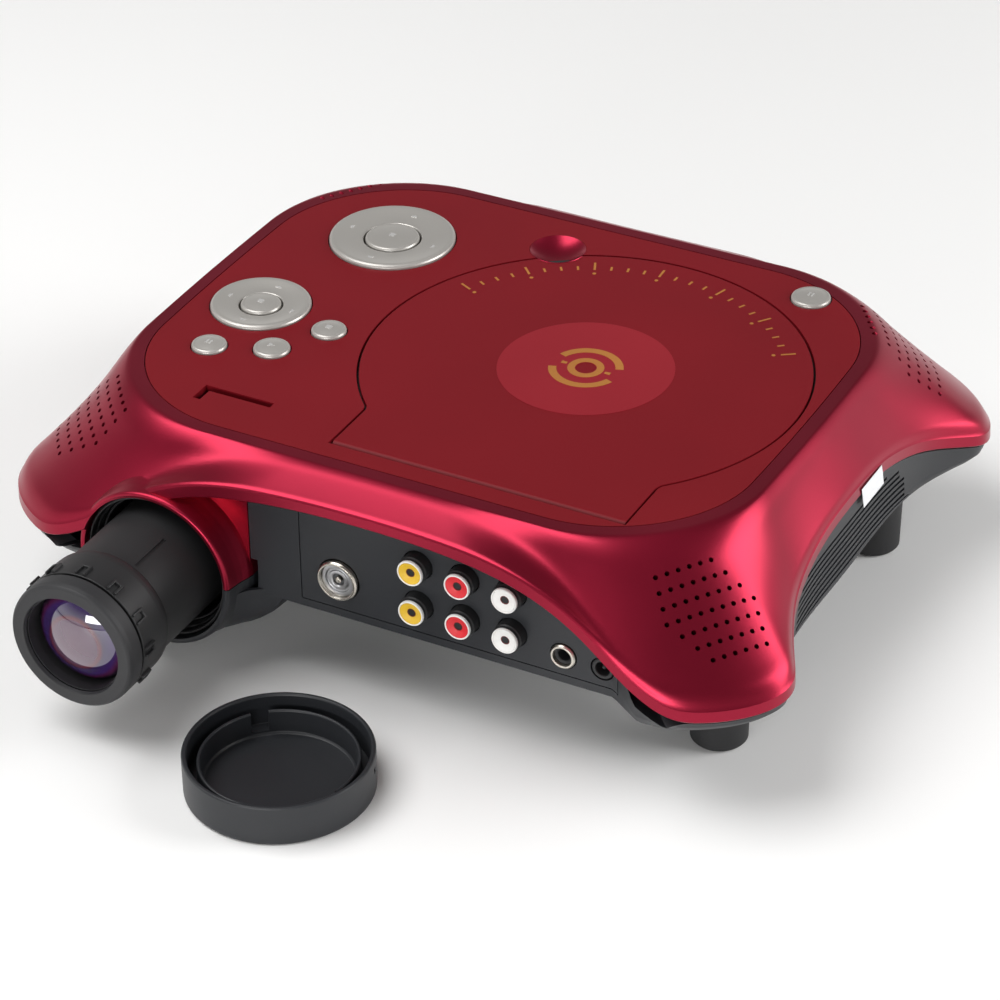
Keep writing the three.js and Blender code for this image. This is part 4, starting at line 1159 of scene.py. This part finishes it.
def metalSocket(name, node, s, rimY, holeR, depth):
    r = s["r"]
    rearY = jackPlan["rearY"]
    rim = [(r - 1.1, rearY), (r, rearY), (r, rimY + 0.6), (r - 0.45, rimY), (r - 0.95, rimY),
           (r - 1.1, rimY + 0.5)]
    finish(turned(name + "Rim", rim, s["x"], 0, s["z"], "Y", 72, 0.12), "nickel", "housing", replaces=[node])
    face = [(0, rimY + depth), (holeR, rimY + depth), (holeR, rimY + 1.5), (holeR + 0.35, rimY + 1.15)]
    if r > 5:
        face += [(3.1, rimY + 1.2), (3.2, rimY + 1.7), (3.9, rimY + 1.7), (4.0, rimY + 1.1)]
    face += [(r - 1.15, rimY + 1.1), (r - 1.15, rimY + depth + 0.8), (0, rimY + depth + 0.8)]
    finish(turned(name + "Face", face, s["x"], 0, s["z"], "Y", 72, 0.1, loop=False),
           "steel" if r > 5 else "matte_black", "housing")
    if r > 5:
        pin = [(0, rimY + depth), (0.9, rimY + depth), (0.9, rimY + 1.3), (0.6, rimY + 1.0), (0, rimY + 1.0)]
        finish(turned(name + "Pin", pin, s["x"], 0, s["z"], "Y", 32, 0.1, loop=False), "nickel", "housing")


# lens
barrel = {"r": 18.4, "bore": 16.4, "rear": -58.0}
grip = {"from": -131.5, "to": -117.5, "r": 19.9, "bumps": 12, "bump": 0.9}


def lensTurned(name, profile, finishName, body, node, soften=0.2, loop=True, sides=128, smooth=40):
    piece = turned(name, profile, lens["x"], 0, lens["z"], "Y", sides, soften, loop)
    return finish(piece, finishName, body, replaces=[node] if node else [], smooth=smooth)


def lensUnit():
    sleeve = [(21.2, -64), (23.1, -64), (23.1, -92.6), (22.7, -93.6), (22.2, -93.8), (21.9, -93.2),
              (21.8, -91.4), (21.4, -91.0), (21.2, -90)]
    lensTurned("lensSleeve", sleeve, "matte_black", "housing", "lens_sleeve")
    lip = [(20.3, -84), (21.15, -84), (21.15, -88.5), (20.7, -89), (20.3, -88.6)]
    lensTurned("sleeveLip", lip, "matte_black", "housing", None)
    bore, r, rear = barrel["bore"], barrel["r"], barrel["rear"]
    tubeBody = [(bore, rear), (r, rear), (r, -132), (bore, -132)]
    tube = turned("lensTube", tubeBody, lens["x"], 0, lens["z"], "Y", 128, 0.15)
    angle = math.radians(62)  # the lengthwise groove lies on the upper right
    groove = boxPiece(-0.5, 0.5, -116, -101, barrel["r"] - 0.5, barrel["r"] + 2)
    move = Matrix.Translation(at(lens["x"], 0, lens["z"])) @ Matrix.Rotation(math.pi / 2 - angle, 4, "Y")
    groove.data.transform(move @ Matrix.Translation(-at(0, 0, 0)))
    cut(tube, groove)
    finish(tube, "matte_black", "lens_unit", replaces=["lens_barrel"], smooth=40)
    ring = [(18.7, grip["to"]), (19.0, grip["to"]), (19.4, -118.2), (19.75, -119.6), (grip["r"], -121),
            (grip["r"], grip["from"]), (18.7, grip["from"])]
    lensTurned("focusRing", ring, "matte_black", "lens_unit", "focus_ring", 0.3)
    low, high = grip["r"] - 0.35, grip["r"] + grip["bump"]
    legs = ((-1.7, -0.9, -131.2, -126.8), (0.9, 1.7, -131.2, -126.8), (-1.0, 1.0, -127.7, -126.8))
    staple, *others = [boxPiece(*leg, low, high, "staple") for leg in legs]
    join(staple, *others)
    bevelled(staple, 0.25)
    staple.data.transform(Matrix.Translation(-at(0, 0, 0)))
    bumps = repeatRound(staple, grip["bumps"], at(lens["x"], 0, lens["z"]), (0, 1, 0), "matte_black")
    bumps.name = "gripBumps"
    finish(bumps, "matte_black", "lens_unit")
    face = [(15.2, -137.2), (15.6, lens["frontY"]), (18.9, lens["frontY"]), (19.55, -137.9), (19.85, -136.5),
            (19.9, -132.4), (16.9, -132.4), (16.3, -135.6)]
    lensTurned("frontRing", face, "faceGrey", "lens_unit", "front_ring", 0.25)
    liner = [(14.7, -131), (16.2, -131), (16.1, -135.4), (15.2, -136.9), (15.0, -136.9), (14.75, -134)]
    lensTurned("glassLiner", liner, "matte_black", "lens_unit", None, 0.15)


glassPlan = {"r": 14.6, "rimY": -131.6, "swell": 6.0, "rings": 40, "ior": 2.0}


# the front glass's material: a coated-glass tint with painted reflections in its colour
def glassWithPaintedReflections():
    material = bpy.data.materials.new("glassWithPaintedReflections")
    material.use_nodes = True
    nodes, links = material.node_tree.nodes, material.node_tree.links
    shader = nodes["Principled BSDF"]
    place = nodes.new("ShaderNodeTexCoord")
    shift = nodes.new("ShaderNodeMapping")
    shift.inputs["Location"].default_value = -at(lens["x"], 0, lens["z"])
    shift.inputs["Location"].default_value[1] = 0
    flatten = nodes.new("ShaderNodeVectorMath")
    flatten.operation = "MULTIPLY"
    flatten.inputs[1].default_value = (1, 0, 1)
    length = nodes.new("ShaderNodeVectorMath")
    length.operation = "LENGTH"
    spread = nodes.new("ShaderNodeMapRange")
    spread.inputs["From Max"].default_value = glassPlan["r"] * mm
    ramp = nodes.new("ShaderNodeValToRGB")
    # colour by distance from the lens axis: a mauve tint in the middle, then purple rings that are painted
    # reflections of the inner lens elements, red rings that are painted glints, and darker towards the rim
    tintAndPaintedReflections = ((0.0, (0.1, 0.045, 0.08)), (0.5, (0.09, 0.04, 0.08)), (0.56, (0.13, 0.008, 0.02)),
             (0.61, (0.02, 0.007, 0.06)), (0.8, (0.04, 0.01, 0.12)), (0.88, (0.1, 0.007, 0.06)),
             (0.94, (0.014, 0.004, 0.02)), (1.0, (0.003, 0.002, 0.004)))
    elements = ramp.color_ramp.elements
    while len(elements) < len(tintAndPaintedReflections):
        elements.new(0.5)
    for element, (position, color) in zip(elements, tintAndPaintedReflections):
        element.position = position
        element.color = color + (1,)
    links.new(place.outputs["Object"], shift.inputs["Vector"])
    links.new(shift.outputs["Vector"], flatten.inputs[0])
    links.new(flatten.outputs["Vector"], length.inputs[0])
    links.new(length.outputs["Value"], spread.inputs["Value"])
    links.new(spread.outputs["Result"], ramp.inputs["Fac"])
    links.new(ramp.outputs["Color"], shader.inputs["Base Color"])
    shader.inputs["Roughness"].default_value = 0.05
    shader.inputs["IOR"].default_value = glassPlan["ior"]
    shader.inputs["Coat Weight"].default_value = 1.0
    shader.inputs["Coat Roughness"].default_value = 0.02
    return material


def frontGlass():
    materials["glassWithPaintedReflections"] = glassWithPaintedReflections()
    r, swell = glassPlan["r"], glassPlan["swell"]
    curve = (r * r + swell * swell) / (2 * swell)
    profile = [(0, glassPlan["rimY"] + 3), (r, glassPlan["rimY"] + 3), (r, glassPlan["rimY"])]
    for k in range(1, glassPlan["rings"] + 1):
        rr = r * (1 - k / glassPlan["rings"])
        profile.append((rr, glassPlan["rimY"] + (curve - swell) - math.sqrt(curve * curve - rr * rr)))
    piece = turned("frontGlass", profile, lens["x"], 0, lens["z"], "Y", 128, 0, loop=False)
    finish(piece, "glassWithPaintedReflections", "lens_unit", replaces=["front_lens"], smooth=50)


# lens cap
capPlan = {"x": -3.5, "y": -130.8, "r": 27.0, "height": 12.5}


def lensCap():
    x, y, r, h = (capPlan[k] for k in ("x", "y", "r", "height"))
    profile = [(0, 0.4), (r - 1.6, 0.4), (r - 1.2, 0), (r - 0.5, 0), (r - 0.1, 0.5), (r, 1.2), (r, h - 0.5),
               (r - 0.3, h), (r - 1.2, h), (r - 1.5, h - 0.5), (r - 1.5, 3), (22.9, 3), (22.9, 9.3),
               (22.6, 9.6), (22.1, 9.6), (21.8, 9.2),
               (21.8, 2.4), (21.2, 1.8), (0, 1.8)]
    cup = turned("lensCap", profile, x, y, 0, "Z", 160, 0.2, loop=False)
    for angle in (135, 338):
        gap = boxPiece(20.5, 24.2, -2.6, 2.6, 3, 12)
        gap.data.transform(Matrix.Translation(at(x, y, 0)) @ Matrix.Rotation(math.radians(angle), 4, "Z")
                           @ Matrix.Translation(-at(0, 0, 0)))
        cut(cup, gap)
    eyelet = boxPiece(23.5, 30, -0.9, 0.9, 7.4, 9.2)
    eyelet.data.transform(Matrix.Translation(at(x, y, 0)) @ Matrix.Rotation(math.radians(18), 4, "Z")
                          @ Matrix.Translation(-at(0, 0, 0)))
    cut(cup, eyelet)
    finish(cup, "satin_black", "cap", replaces=["lens_cap"])


# feet, tray, turntable and seal
footPlan = {
    "r": 9.0, "tipR": 8.3,
    "places": {"fl": (-103.6, -64), "fr": (95.4, -54.9), "bl": (-95.4, 54.9), "br": (95.4, 54.9)},
}


def feet():
    r, tip, high = footPlan["r"], footPlan["tipR"], base["z"] - 0.3
    profile = [(0, 0.3), (tip - 2.4, 0.3), (tip - 2.0, 0), (tip - 0.7, 0), (tip, 0.8), (r - 0.15, high - 2.2),
               (r - 0.15, high - 1.8),
               (r, high - 1.6), (r, high), (0, high)]
    for name, (x, y) in footPlan["places"].items():
        piece = turned("foot" + name.upper(), profile, x, y, 0, "Z", 72, 0.3, loop=False)
        finish(piece, "rubber_black", "housing", replaces=["foot_" + name])


def discWell():
    floorZ, r, wall = 60.3, 63.0, 1.6
    tray = [(0, floorZ), (r, floorZ), (r, 68.4), (r - 0.5, 68.6), (r - wall, 68.4),
            (r - wall - 0.5, floorZ + 2.6), (r - wall - 1.6, floorZ + 1.6), (0, floorZ + 1.6)]
    piece = turned("discTray", tray, lid["x"], lid["y"], 0, "Z", 128, 0.2, loop=False)
    cut(piece, upright(lid["x"], lid["y"], 55, 70, 17, 96),
        boxPiece(lid["x"] - 6.5, lid["x"] + 6.5, lid["y"], lid["y"] + 59.5, 40, 80))
    finish(piece, "matte_black", "housing", replaces=["disc_tray"])
    table = [(1.2, 61.8), (5, 61.8), (5, 62.4), (16, 62.4), (16, 64), (12, 64.1), (11.6, 63.8), (8, 63.8),
             (7.4, 64), (7.2, 66),
             (5.6, 67.4), (1.2, 67.4)]
    finish(turned("turntableHub", table, lid["x"], lid["y"], 0, "Z", 96, 0.2), "matte_black", "turntable",
           replaces=["turntable"])


sealPlan = {"y0": 7.0, "y1": 21.5, "z0": 44.5, "z1": 52.0, "slant": -0.3, "off": 0.25, "steps": 10}


def seal(skin):
    # a plain seal that lies over the joint on the right side
    graph = bpy.context.evaluated_depsgraph_get()
    tree = BVHTree.FromObject(skin, graph)
    steps = sealPlan["steps"]
    points = []
    for i in range(steps + 1):
        for k in range(steps + 1):
            z = sealPlan["z0"] + (sealPlan["z1"] - sealPlan["z0"]) * i / steps
            y = sealPlan["y0"] + (sealPlan["y1"] - sealPlan["y0"]) * k / steps + (z - 48) * sealPlan["slant"]
            hit, _, _, _ = tree.ray_cast(at(140, y, z), Vector((-1, 0, 0)))
            x = 110.6 if hit is None else hit.x / mm
            points.append((min(max(x, 110.6), 112) + sealPlan["off"], y, z))
    outer = [at(*p) for p in points]
    inner = [at(p[0] - 0.12, p[1], p[2]) for p in points]
    count = steps + 1
    faces = []
    for i in range(steps):
        for k in range(steps):
            a = i * count + k
            faces.append((a, a + 1, a + count + 1, a + count))
            b = a + count * count
            faces.append((b, b + count, b + count + 1, b + 1))
    edge = list(range(count)) + [i * count + steps for i in range(1, count)]
    edge += [steps * count + k for k in range(steps - 1, -1, -1)]
    edge += [i * count for i in range(steps - 1, 0, -1)]
    for a, b in zip(edge, edge[1:] + edge[:1]):
        faces.append((a, b, b + count * count, a + count * count))
    finish(meshFrom("sideSeal", outer + inner, faces), "sealWhite", "housing")


# the model
print("building the housing")
shell = upperShell()
topPanel()
scoopBowl()
paintedGapShadow()
discLid()
lidPrint()
print("building keys and sockets")
keys()
keyMarks()
wall = baseWalls()
portPanel(wall)
bottomShell(wall)
sockets()
print("building lens, cap and feet")
lensUnit()
frontGlass()
lensCap()
feet()
discWell()
seal(shell)

slotOf = {row["node"]: row["material_slot"] for row in frame["record"]["subparts"]}
for name, node in frame["nodes"].items():
    node.data.materials.clear()
    node.data.materials.append(materials[slotOf[name]])

print("finishing")
